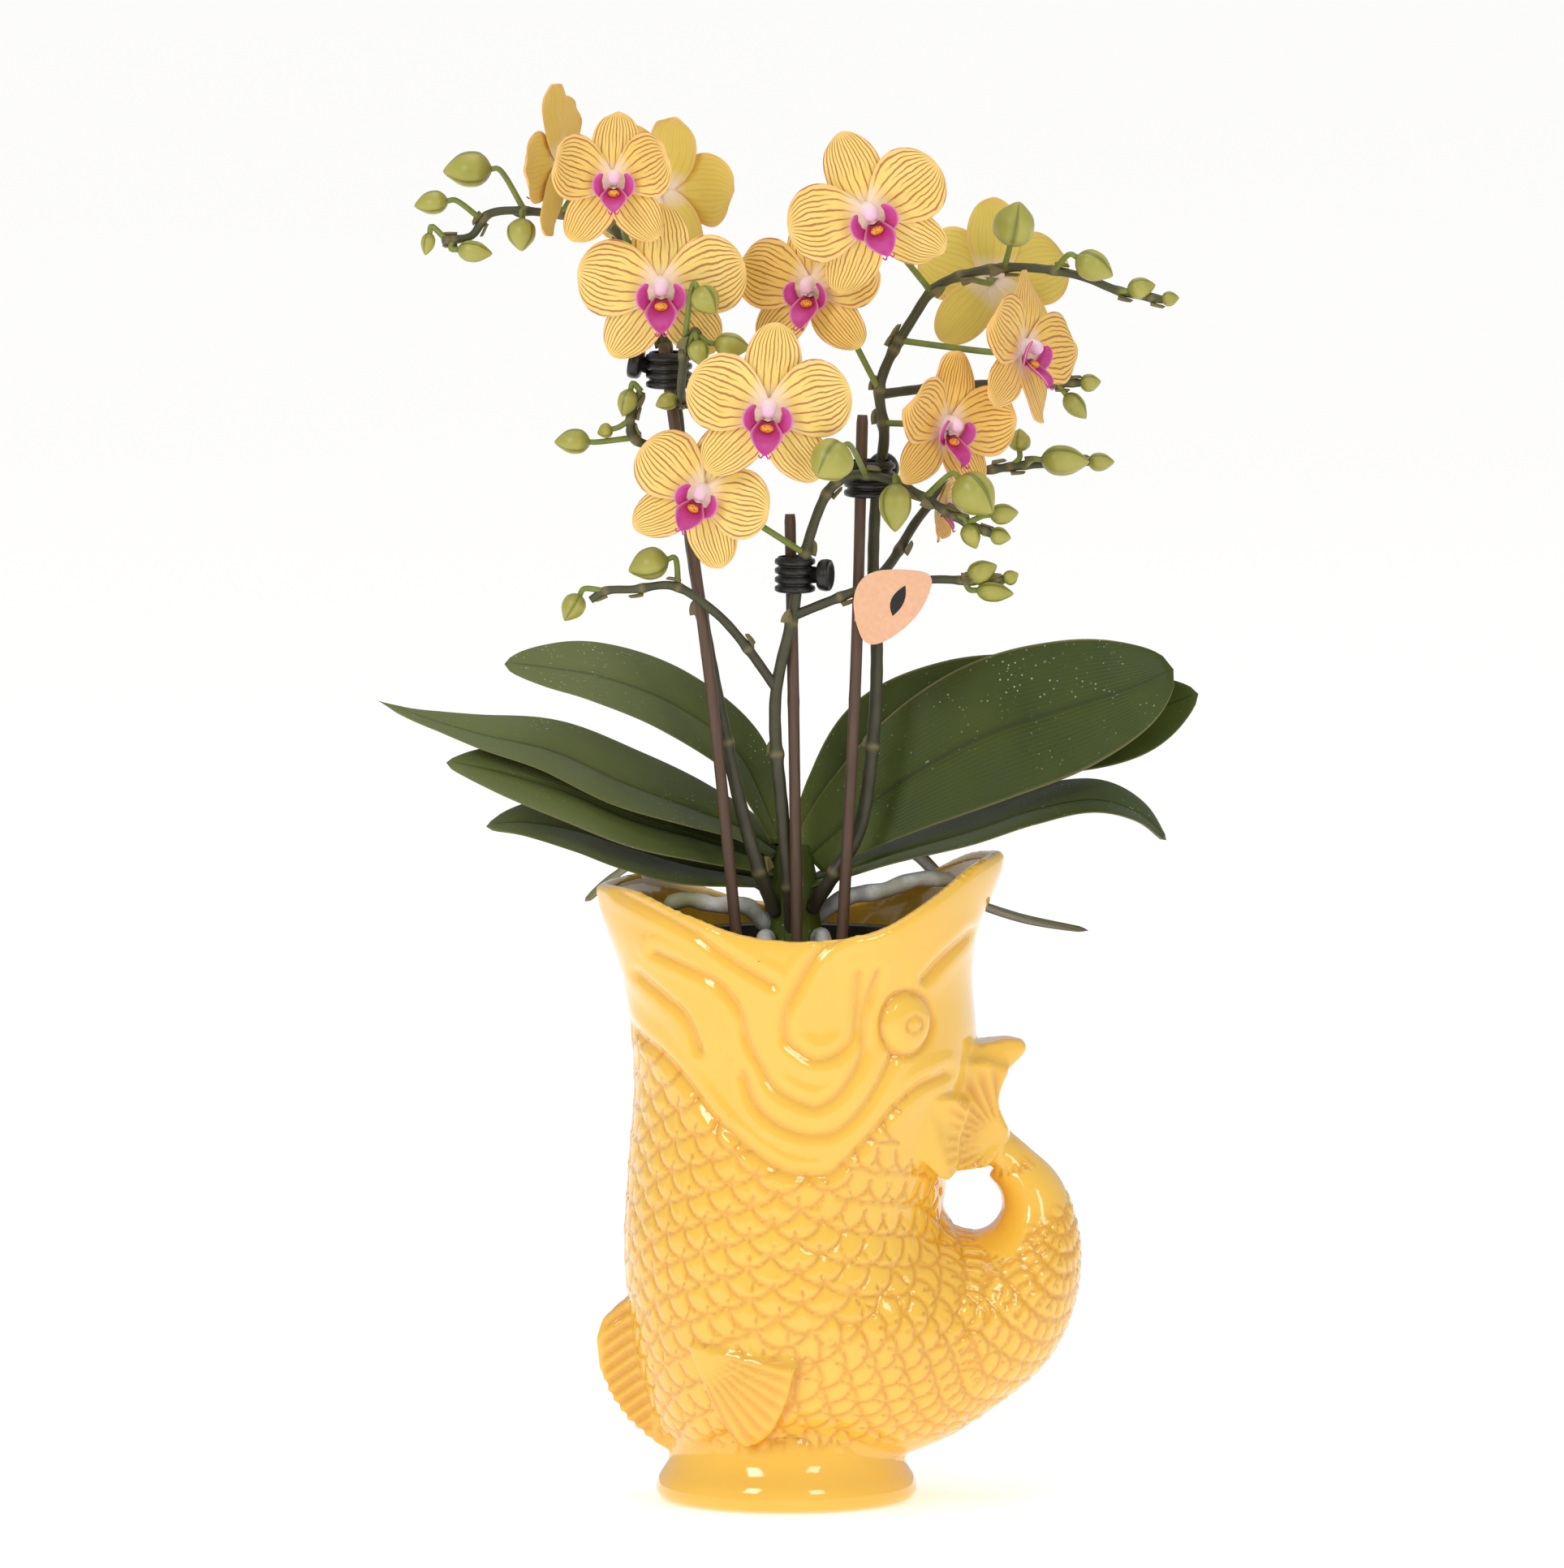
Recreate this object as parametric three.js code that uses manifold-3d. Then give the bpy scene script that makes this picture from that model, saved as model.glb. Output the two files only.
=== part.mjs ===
// A small moth orchid with three flower spikes. It grows in a thin nursery pot of bark, which hangs in a
// glazed ceramic pot shaped as a carp standing on its belly, mouth up, with the tail curled up as a handle.
// Millimetres, +Z up. The origin is the middle of the foot's flat underside, the tail is on +X and the
// front of the plant is -Y. The carp is symmetric about the plane y = 0.
import * as THREE from "three";
import { mergeVertices } from "three/addons/utils/BufferGeometryUtils.js";
import Module from "manifold-3d";

// ---- driving dimensions, mm ----
const CLEARANCE = 0.3; // gap kept between pieces that touch

const FOOT_RADIUS = 36;
const FOOT_HEIGHT = 12;
const NECK_RADIUS = 32;
const WALL = 4; // ceramic thickness
const BODY_WIDTH = 88; // left to right, level with the handle hole
const BODY_DEPTH = 92; // front to back, level with the handle hole
const MOUTH_DEPTH = 98; // front to back at the mouth
const MOUTH_LOW = 161; // height of the lowest point of the mouth's edge
const HOLE_RADIUS = 8; // the gap that a finger goes through, between body and tail
const HOLE_X = 51.5; // from the middle of the foot to the middle of the gap
const HOLE_HEIGHT = 83;
const HOLLOW_TAIL_ANGLE = 50; // the tail is hollow down to this angle and solid beyond it
const EYE_LENGTH = 16;
const EYE_X = 33;
const FIN_THICKNESS = 7; // belly fin
const TAIL_FIN_ROOT = 9; // half thickness of the tail fin where it meets the tail
const TAIL_FIN_EDGE = 27; // and along its far edge
const SIDE_FIN_PROUD = 24; // from the middle plane out to the side fin's front lower corner
const SIDE_FIN_DEPTH = 12;

const NURSERY_X = 2.5; // the grower's pot stands this far towards the tail
const NURSERY_DROP = 5; // from the mouth's lowest point down to its rim
const NURSERY_HEIGHT = 80;
const NURSERY_WALL = 1;
const NURSERY_PLAY = 1.2; // room round its lip
const NURSERY_LIP = 2.5;
const NURSERY_TAPER = 0.13; // radius lost for each mm of height
const NURSERY_LIP_HEIGHT = 4;
const BARK_DROP = 5; // from the nursery pot's rim down to the bark

const CROWN_RADIUS = 7;
const CROWN_HEIGHT = 32;
const CROWN_DEPTH = 14; // how deep the crown sits in the bark
const LEAF_THICKNESS = 2;
const LEAF_FOLD = 0.12;
const ROOT_RADIUS = 2.3;

const SPIKE_RADIUS = 2; // at the crown
const SPIKE_TIP_RADIUS = 1.1;
const BRANCH_RADIUS = 1.4;
const STALK_RADIUS = 0.9;
const STEM_STEP = 11; // length of one straight piece of a bent stem
const STALK_BEND = 7; // how far behind a flower its stalk straightens
const STICK_RADIUS = 1.6;
const STICK_DEPTH = 45; // how deep a stick is pushed into the bark
const CLIP_WALL = 1.2;
const CLIP_HEIGHT = 10;
const CLIP_BUTTON_RADIUS = 4.5;
const CLIP_BUTTON_LENGTH = 6;
const CARD_WIDTH = 21.5;
const CARD_THICKNESS = 0.7;
const CARD_FORWARD = 8; // from the stick's middle to the card's face
const CARD_ASIDE = 9.5; // from the stick's middle to the card's middle
const BAND_WIDTH = 4; // the paper band that holds the card

const FLOWER_WIDTH = 47; // of the widest flowers, from petal tip to petal tip
const TEPAL_THICKNESS = 1.3;
const SEPAL_SET_BACK = 1; // how far the sepals lie behind the petals

// ---- heights that follow from them ----
const nurseryTop = MOUTH_LOW - NURSERY_DROP;
const barkTop = nurseryTop - BARK_DROP;

const wasm = await Module();
wasm.setup();

// ---- helpers ----
const vector = (point) => new THREE.Vector3(...point);
const degrees = THREE.MathUtils.degToRad;
const mix = THREE.MathUtils.lerp;

/** Value at x on a smooth line through the rows [x, value], which are sorted by x. */
function along(rows, x) {
  const last = rows.length - 1;
  let i = 0;
  while (i < last - 1 && x > rows[i + 1][0]) i += 1;
  const slope = (k) => {
    const a = rows[Math.max(k - 1, 0)];
    const b = rows[Math.min(k + 1, last)];
    return (b[1] - a[1]) / (b[0] - a[0]);
  };
  const step = rows[i + 1][0] - rows[i][0];
  const t = THREE.MathUtils.clamp((x - rows[i][0]) / step, 0, 1);
  const start = (1 + 2 * t) * (1 - t) ** 2 * rows[i][1] + t * (1 - t) ** 2 * step * slope(i);
  return start + t * t * (3 - 2 * t) * rows[i + 1][1] + t * t * (t - 1) * step * slope(i + 1);
}

/** Closed skin over a row of rings with equal counts of points, with a fan over each end. */
function skin(rings) {
  const around = rings[0].length;
  const points = rings.flat();
  for (const ring of [rings[0], rings[rings.length - 1]]) {
    const middle = ring.reduce((sum, point) => sum.add(point), new THREE.Vector3());
    points.push(middle.divideScalar(around));
  }
  const faces = [];
  const startCap = points.length - 2;
  const endCap = points.length - 1;
  for (let j = 0; j < around; j += 1) {
    const next = (j + 1) % around;
    for (let i = 0; i < rings.length - 1; i += 1) {
      const a = i * around;
      const b = a + around;
      faces.push(a + j, a + next, b + next, a + j, b + next, b + j);
    }
    const end = (rings.length - 1) * around;
    faces.push(startCap, next, j, endCap, end + j, end + next);
  }
  const geometry = new THREE.BufferGeometry().setFromPoints(points);
  geometry.setIndex(faces);
  return geometry;
}

/** The volume inside a closed skin, negative where its faces point inwards. */
function signedVolume(positions, faces) {
  const corner = (k) => new THREE.Vector3().fromArray(positions, 3 * faces[k]);
  let volume = 0;
  for (let k = 0; k < faces.length; k += 3) {
    volume += corner(k).dot(corner(k + 1).cross(corner(k + 2))) / 6;
  }
  return volume;
}

/** Solid made from closed three.js geometry, with its faces turned outwards. */
function solid(geometry) {
  const bare = geometry.clone();
  bare.deleteAttribute("normal");
  bare.deleteAttribute("uv");
  const merged = mergeVertices(bare, 1e-4);
  const positions = new Float32Array(merged.attributes.position.array);
  const faces = [];
  const index = merged.index.array;
  for (let k = 0; k < index.length; k += 3) {
    const [a, b, c] = [index[k], index[k + 1], index[k + 2]];
    if (a !== b && b !== c && c !== a) faces.push(a, b, c);
  }
  const triangles = signedVolume(positions, faces) < 0 ? faces.reverse() : faces;
  return new wasm.Manifold(
    new wasm.Mesh({ numProp: 3, vertProperties: positions, triVerts: new Uint32Array(triangles) }),
  );
}

const join = (first, ...rest) => rest.reduce((sum, piece) => sum.add(piece), first);
const cut = (first, ...rest) => rest.reduce((left, piece) => left.subtract(piece), first);

/** three.js geometry of a solid. */
function surface(body) {
  const mesh = body.getMesh();
  const geometry = new THREE.BufferGeometry();
  geometry.setAttribute("position", new THREE.Float32BufferAttribute(mesh.vertProperties, 3));
  geometry.setIndex([...mesh.triVerts]);
  const flat = geometry.toNonIndexed();
  flat.computeVertexNormals();
  return flat;
}

const stemSteps = (curve, step) => Math.max(2, Math.ceil(curve.getLength() / step));
const curveThrough = (points) => new THREE.CatmullRomCurve3(points.map(vector), false, "centripetal");

/** Round tapered stem along a curve. `grow` fattens it, for the hole that it passes through. */
function stem(points, startRadius, endRadius, { grow = 0, sides = 5, step = STEM_STEP } = {}) {
  const curve = curveThrough(points);
  const steps = stemSteps(curve, step);
  const frames = curve.computeFrenetFrames(steps);
  const rings = [];
  for (let i = 0; i <= steps; i += 1) {
    const middle = curve.getPointAt(i / steps);
    const radius = mix(startRadius, endRadius, i / steps) + grow;
    rings.push(
      Array.from({ length: sides }, (_, j) => {
        const turn = (2 * Math.PI * j) / sides;
        const side = frames.normals[i].clone().multiplyScalar(radius * Math.cos(turn));
        return side.addScaledVector(frames.binormals[i], radius * Math.sin(turn)).add(middle);
      }),
    );
  }
  return solid(skin(rings));
}

/** Half width of a leaf or petal at `u` along it: a waisted base, its widest at `widest`, a round end. */
function bladeHalfWidth(u, width, base, widest) {
  if (u <= widest) return (width / 2) * mix(base, 1, Math.sin((Math.PI / 2) * (u / widest)));
  return (width / 2) * Math.sqrt(Math.max(0, 1 - ((u - widest) / (1 - widest)) ** 2));
}

/** Thin blade along a curve, `across` being the direction of its width and `fold` its V or cup. */
function blade({ path, across, width, base, widest, thickness, fold, stations, grow = 0 }) {
  const curve = curveThrough(path);
  const sideways = vector(across).normalize();
  const rings = [];
  for (const u of stations) {
    const middle = curve.getPointAt(u);
    const forward = curve.getTangentAt(u);
    const side = sideways.clone().addScaledVector(forward, -sideways.dot(forward)).normalize();
    const up = new THREE.Vector3().crossVectors(forward, side);
    const half = Math.max(bladeHalfWidth(u, width, base, widest), 0.4) + grow;
    const thick = thickness / 2 + grow;
    const point = (s, lift) => {
      const place = middle.clone().addScaledVector(side, s * half);
      return place.addScaledVector(up, fold * Math.abs(s) * half + lift);
    };
    rings.push([point(-1, 0), point(0, thick), point(1, 0), point(0, -thick)]);
  }
  return solid(skin(rings));
}

// ---- ceramic carp ----
// Up to the mouth the body is a stack of rings. Below the handle hole the rings turn about the hole,
// so that the belly bends round under it and rises again as the tail.
const mouthRise = [[-53, 10.5], [-43, 11.3], [-28, 6.5], [-10, 1.2], [8, 0], [26, 3], [40, 10.5],
  [52, 18], [60, 20.5]];
const bellySide = [[0, 0], [0.17, 1], [0.37, 2.3], [0.55, 1.3], [0.73, -1.6], [0.84, -4.8],
  [0.93, -7.4], [1, -8.5]];
const tailSide = [[0, 0], [0.17, 3], [0.3, 6.5], [0.45, 9], [0.7, 8.3], [0.8, 10], [0.9, 14.7],
  [0.96, 16.7], [1, 16.5]];
const tailReach = [[-62, 22], [-40, 22], [-20, 24.5], [10, 29.5], [38, 37.5], [64, 48.5], [85, 58],
  [104, 72],
  [126, 88], [143, 108], [152, 104], [165, 99], [180, BODY_WIDTH + HOLE_RADIUS]];
const tailThickness = [[-62, 11], [-40, 10], [-20, 12], [10, 15], [38, 20], [64, 24], [94, 30], [126, 42],
  [145, BODY_DEPTH / 2], [180, BODY_DEPTH / 2]];
const ringTurns = Array.from({ length: 24 }, (_, j) => (2 * Math.PI * j) / 24);
const mouthHeight = (x) => MOUTH_LOW + along(mouthRise, x);
const halfDepthAt = (t) => mix(BODY_DEPTH, MOUTH_DEPTH, Math.min(1, t * 1.1)) / 2;

/** Ring of the body at `t` of the way from the handle hole's level up to the mouth. */
function bodyRing(t, inset, lift = 0) {
  const left = HOLE_X - HOLE_RADIUS - BODY_WIDTH + along(bellySide, t) + inset;
  const right = HOLE_X - HOLE_RADIUS + along(tailSide, t) - inset;
  const depth = halfDepthAt(t) - inset;
  const pointed = THREE.MathUtils.smoothstep(t, 0.8, 1);
  return ringTurns.map((turn) => {
    const x = mix(left, right, (1 + Math.cos(turn)) / 2);
    const lens = 1 - Math.abs(Math.cos(turn)) ** 3.2;
    const y = depth * Math.sign(Math.sin(turn)) * mix(Math.abs(Math.sin(turn)), lens, pointed);
    return new THREE.Vector3(x, y, mix(HOLE_HEIGHT, mouthHeight(x), t) + lift);
  });
}

/** Ring of the belly or tail, turned about the handle hole. An angle of 0 points to +X and 90 down. */
function tailRing(angle, inset) {
  const near = HOLE_RADIUS + inset;
  const far = along(tailReach, angle) - inset;
  const thick = along(tailThickness, angle) - inset;
  const out = new THREE.Vector3(Math.cos(degrees(angle)), 0, -Math.sin(degrees(angle)));
  return ringTurns.map((turn) => {
    const place = new THREE.Vector3(HOLE_X, thick * Math.sin(turn), HOLE_HEIGHT);
    return place.addScaledVector(out, mix(near, far, (1 - Math.cos(turn)) / 2));
  });
}

/** Flat outline in the carp's middle plane, thickened to both sides by `halfThickness(x, z)`. */
function fin(outline, halfThickness) {
  const flat = new THREE.Shape(outline.map(([x, z]) => new THREE.Vector2(x, z)));
  const slab = new THREE.ExtrudeGeometry(flat, { depth: 2, bevelEnabled: false, steps: 1 });
  slab.translate(0, 0, -1).rotateX(Math.PI / 2);
  const place = slab.attributes.position;
  for (let i = 0; i < place.count; i += 1) {
    place.setY(i, place.getY(i) * halfThickness(place.getX(i), place.getZ(i)));
  }
  return solid(slab);
}

function tailFin() {
  const outline = [[55, 91], [61, 103], [58, 110], [59, 116], [62.5, 120.5], [66.5, 124.5], [65.5, 127.5],
    [62, 128], [55, 127], [46, 125], [38, 113], [33, 107], [38, 99], [44, 92]];
  const root = new THREE.Vector2(60, 97);
  return fin(outline, (x, z) => mix(TAIL_FIN_ROOT, TAIL_FIN_EDGE, Math.min(1,
  root.distanceTo(new THREE.Vector2(x, z)) / 26)));
}

function bellyFin() {
  const outline = [[-40, 58], [-48, 55], [-51.5, 50], [-52.5, 44], [-51.5, 37], [-48.5, 29], [-43.5, 22],
    [-38, 17], [-31, 14], [-28, 24], [-36, 45]];
  return fin(outline, () => FIN_THICKNESS / 2);
}

/** The side fin: a fan that lies on the body and stands proud at its trailing edge. */
function sideFin(side) {
  const outline = new THREE.Shape([
    new THREE.Vector2(-25, 38), new THREE.Vector2(2, 33), new THREE.Vector2(-3, 15),
    new THREE.Vector2(-9, 14), new THREE.Vector2(-18, 21),
  ]);
  const slab = new THREE.ExtrudeGeometry(outline, { depth: SIDE_FIN_DEPTH, bevelEnabled: false });
  slab.rotateX(Math.PI / 2);
  const place = slab.attributes.position;
  for (let i = 0; i < place.count; i += 1) {
    const outer = SIDE_FIN_PROUD + 0.37 * (place.getX(i) + 25) + 0.5 * (place.getZ(i) - 14);
    place.setY(i, side * (outer + place.getY(i)));
  }
  return solid(slab);
}

function eye(side) {
  const ball = new THREE.SphereGeometry(1, 12, 8);
  ball.scale(EYE_LENGTH * 0.4, 3.5, EYE_LENGTH / 2);
  const t = 0.5;
  ball.translate(EYE_X, side * (halfDepthAt(t) * 0.8 - 0.5), mix(HOLE_HEIGHT, MOUTH_LOW, t) + 8);
  return solid(ball);
}

function ceramicPot() {
  const levels = [1, 0.95, 0.88, 0.76, 0.6, 0.4, 0.2, 0];
  const angles = [163, 150, 140, 130, 118, 104, 90, 76, 62, 46, 30, 12, -8, -30, -62];
  const outside = solid(skin([...levels.map((t) => bodyRing(t, 0)), ...angles.map((a) => tailRing(a,
    0))]));
  const inside = solid(skin([
    bodyRing(1, WALL, 40),
    ...levels.map((t) => bodyRing(t, WALL)),
    ...angles.filter((a) => a >= HOLLOW_TAIL_ANGLE).map((a) => tailRing(a, WALL)),
  ]));
  const footProfile = [[0, 0], [FOOT_RADIUS - 2, 0], [FOOT_RADIUS, 2], [FOOT_RADIUS, FOOT_HEIGHT * 0.5],
    [NECK_RADIUS, FOOT_HEIGHT], [NECK_RADIUS - 6, FOOT_HEIGHT + WALL + 2], [0, FOOT_HEIGHT + WALL + 2]];
  const foot = new THREE.LatheGeometry(footProfile.map(([r, z]) => new THREE.Vector2(r, z)), 32);
  foot.rotateX(Math.PI / 2);
  const shape = join(outside, solid(foot), tailFin(), bellyFin(), sideFin(-1), sideFin(1), eye(-1),
    eye(1));
  const floor = footFloor();
  return cut(shape, cut(inside, floor));
}

/** What stays solid in the bottom of the hollow, over the foot. */
function footFloor() {
  const slab = new THREE.CylinderGeometry(NECK_RADIUS + 2, NECK_RADIUS + 2, 2 * (FOOT_HEIGHT + WALL), 24);
  slab.rotateX(Math.PI / 2);
  return solid(slab);
}

// ---- grower's pot and bark ----
const seatLevel = (nurseryTop - HOLE_HEIGHT) / (MOUTH_LOW - HOLE_HEIGHT);
const nurseryRadius = halfDepthAt(seatLevel) - WALL - NURSERY_PLAY;
const nurseryBodyRadius = nurseryRadius - NURSERY_LIP;
const nurseryFootRadius = nurseryBodyRadius - NURSERY_HEIGHT * NURSERY_TAPER;
const nurseryFoot = nurseryTop - NURSERY_HEIGHT;

function turned(profile, x, segments) {
  const geometry = new THREE.LatheGeometry(profile.map(([r, z]) => new THREE.Vector2(r, z)), segments);
  geometry.rotateX(Math.PI / 2);
  geometry.translate(x, 0, 0);
  return solid(geometry);
}

function nurseryPot() {
  const lipFoot = nurseryTop - NURSERY_LIP_HEIGHT;
  return turned([
    [0, nurseryFoot], [nurseryFootRadius, nurseryFoot], [nurseryBodyRadius, lipFoot],
      [nurseryRadius, lipFoot],
    [nurseryRadius, nurseryTop], [nurseryBodyRadius - NURSERY_WALL, nurseryTop],
    [nurseryFootRadius - NURSERY_WALL, nurseryFoot + NURSERY_WALL], [0, nurseryFoot + NURSERY_WALL],
  ], NURSERY_X, 28);
}

function barkFill(passing) {
  const inset = NURSERY_WALL + 2 * CLEARANCE;
  const topRadius = nurseryFootRadius - inset + (barkTop - nurseryFoot) * NURSERY_TAPER;
  const foot = nurseryFoot + NURSERY_WALL + CLEARANCE;
  const fill = turned(
    [[0, foot], [nurseryFootRadius - inset, foot], [topRadius, barkTop],
      [topRadius * 0.5, barkTop + 1], [0, barkTop + 1]],
    NURSERY_X, 28,
  );
  return cut(fill, ...passing);
}

// ---- the plant: every height from here on is measured from the bark ----
const crownMiddle = [2, 2];

function crown(passing) {
  const profile = [[0, -CROWN_DEPTH], [CROWN_RADIUS * 0.7, -CROWN_DEPTH], [CROWN_RADIUS, 0],
    [CROWN_RADIUS, CROWN_HEIGHT * 0.6], [CROWN_RADIUS * 0.6, CROWN_HEIGHT], [0, CROWN_HEIGHT]];
  const body = turned(profile, crownMiddle[0], 12).translate([0, crownMiddle[1], 0]);
  return cut(body, ...passing);
}

const crownHole = turned(
  [[0, -CROWN_DEPTH - CLEARANCE], [CROWN_RADIUS * 0.7 + CLEARANCE, -CROWN_DEPTH - CLEARANCE],
    [CROWN_RADIUS + CLEARANCE, 0], [CROWN_RADIUS + CLEARANCE, 4], [0, 4]],
  crownMiddle[0], 12,
).translate([0, crownMiddle[1], 0]);

// Leaves, from the crown to the tip. `across` is the direction of the blade's width.
const leafStations = [0, 0.1, 0.22, 0.36, 0.5, 0.64, 0.78, 0.9, 0.97, 1];
const leaves = [
  { name: "leaf_left_top", width: 30, across: [0.28, 0.85, 0.45], colour: 0x35502a,
    path: [[-2, 3.5, 31], [-6, 8, 41], [-14, 13, 56], [-32, 14, 69], [-52, 13, 76.5], [-66, 11, 79],
      [-78, 10, 80.5]] },
  { name: "leaf_left_upper", width: 34, across: [0.2, 0.92, 0.33], colour: 0x2f4a26,
    path: [[-2, 5, 28], [-12, 8, 34.5], [-26, 10, 40], [-45, 11, 47], [-65, 10, 56], [-85, 7, 61],
      [-104, 5, 67], [-113, 4, 71]] },
  { name: "leaf_left_middle", width: 36, across: [0.2, 0.9, 0.38], colour: 0x2c4624,
    path: [[-1, 4, 24], [-12, 6, 28], [-24, 5, 32], [-42, 2, 37.5], [-62, 0, 46], [-80, -2, 51.5],
      [-94, -3, 54.5]] },
  { name: "leaf_left_lower", width: 33, across: [0.2, 0.9, 0.3], colour: 0x2a4424,
    path: [[-1, 4, 20], [-12, 5, 22], [-28, 5, 25], [-44, 4, 30], [-58, 2, 34.5], [-72, 0, 37],
      [-83, -1, 36.5]] },
  { name: "leaf_left_small", width: 18, across: [0.25, 0.95, 0.1], colour: 0x2a4424,
    path: [[-2, 7, 16], [-12, 16, 21], [-25, 24, 25], [-36, 31, 26], [-46, 36, 20], [-56, 40, 11]] },
  { name: "leaf_right_back", width: 36, across: [-0.35, 0.42, 0.82], colour: 0x35502a,
    path: [[5.5, 6.5, 29.5], [15, 13.5, 44], [28, 18, 58], [48, 20, 64], [74, 19, 65], [97, 15, 66],
      [114, 12, 72]] },
  { name: "leaf_right_top", width: 41, across: [-0.42, 0.4, 0.81], colour: 0x35502a,
    path: [[6, 3, 27.5], [18, 5, 38], [36, 6, 51], [57, 6, 62], [78, 5, 69], [96, 3, 75], [107, 1, 80]] },
  { name: "leaf_right_lower", width: 30, across: [0.1, 0.94, 0.26], colour: 0x2c4624,
    path: [[6, 2, 20], [16, 0, 23.5], [30, -1, 28.5], [52, -1, 35], [70, -1, 41], [86, -2, 43.5],
      [97, -3, 40], [105, -4, 33]] },
  { name: "leaf_right_small", width: 18, across: [-0.3, 0.95, 0], colour: 0x2a4424,
    path: [[4, 8, 14], [14, 20, 21], [24, 31, 25.5], [34, 41, 25], [47, 46, 13], [64, 46, 6],
      [84, 44, 2.5]] },
];

function leafSolid(leaf, grow = 0) {
  return blade({
    ...leaf, base: 0.3, widest: 0.58, thickness: LEAF_THICKNESS, fold: LEAF_FOLD,
    stations: leafStations, grow,
  });
}

// Aerial roots, from the crown outwards. The short ones go down into the bark.
const roots = [
  { name: "root_left",
    path: [[-5, 1, 9], [-10, -5, 14], [-16, -8, 15.5], [-24, -8, 16.5], [-34, -8, 16]] },
  { name: "root_right",
    path: [[8, 3, 12], [14, -2, 15.5], [22, -6, 18.5], [32, -6, 21], [41, -5, 22.5], [47, -3, 22.5]] },
  { name: "root_short_left", path: [[-4, 0, 5], [-6, -7, 6], [-6, -12, 1], [-6, -13, -8]] },
  { name: "root_short_right", path: [[8, -1, 6], [10, -7, 6], [10, -11, 1], [10, -12, -8]] },
];
const rootSolid = (root, grow = 0) => stem(root.path, ROOT_RADIUS, ROOT_RADIUS * 0.8, { grow, step: 9 });

// Flower spikes, from the crown to the last bud, and their side branches.
const spikes = {
  spike_left: [[-3, -4, 13], [-7, -9.5, 24], [-11, -9.5, 37], [-17, -8.5, 63], [-26, -7, 113],
  [-32, -3, 165],
    [-40, -3, 192], [-50, -1, 204], [-62, 3, 206], [-82, 5, 206], [-87, 4, 200], [-95, 2, 199]],
  spike_middle: [[1.5, -4, 8], [1, -9, 18], [-1, -9.5, 40], [-3, -9.5, 73], [2, -9.5, 97],
  [4, -9.5, 109], [12, -9, 131],
    [18, -10, 135], [28, -11, 134], [38, -12, 129], [48, -13, 123], [57, -14, 119]],
  spike_right: [[7, -4, 14], [13, -10, 24], [20, -8, 36], [24, -4, 62], [25, 0, 85], [24, 2, 108],
  [25, 3, 130],
    [27, 4, 144], [26, 5, 159], [35, 6, 177], [42, 6, 186], [60, 6, 191], [80, 6, 189],
      [92, 6, 184.5], [105, 5, 182]],
};
const branches = [
  { name: "branch_left_side", from: "spike_left",
    path: [[-29.2, -5, 138], [-36, -6, 142], [-42, -7, 145], [-43, -8, 151], [-40, -8, 158]] },
  { name: "branch_left_front", from: "spike_left",
    path: [[-31.4, -3.8, 155], [-27, -8, 154.5], [-28, -15, 156], [-29, -24, 160], [-28.5, -28, 167],
      [-28, -28, 173], [-24, -29, 177]] },
  { name: "branch_middle_left", from: "spike_middle",
    path: [[-2.9, -9.5, 76], [-12, -13, 89], [-20, -17, 98], [-31, -17, 105], [-42, -16, 104],
      [-50, -16, 103.5], [-54, -16, 101]] },
  { name: "branch_middle_right", from: "spike_middle",
    path: [[2, -9.5, 96], [14, -11.5, 101], [24, -11.5, 104.5], [41, -9, 106], [52, -8, 105.5],
      [60, -8, 106]] },
  { name: "branch_right_low", from: "spike_right",
    path: [[24, 2, 104], [29, 8, 109], [37, 16, 121], [47, 18, 131], [61, 17, 134.5], [84, 17, 136]] },
  { name: "branch_right_high", from: "spike_right",
    path: [[26, 4.8, 156], [38, 10, 157], [54, 13, 158], [70, 13, 158], [82, 12, 158.5]] },
];

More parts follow.
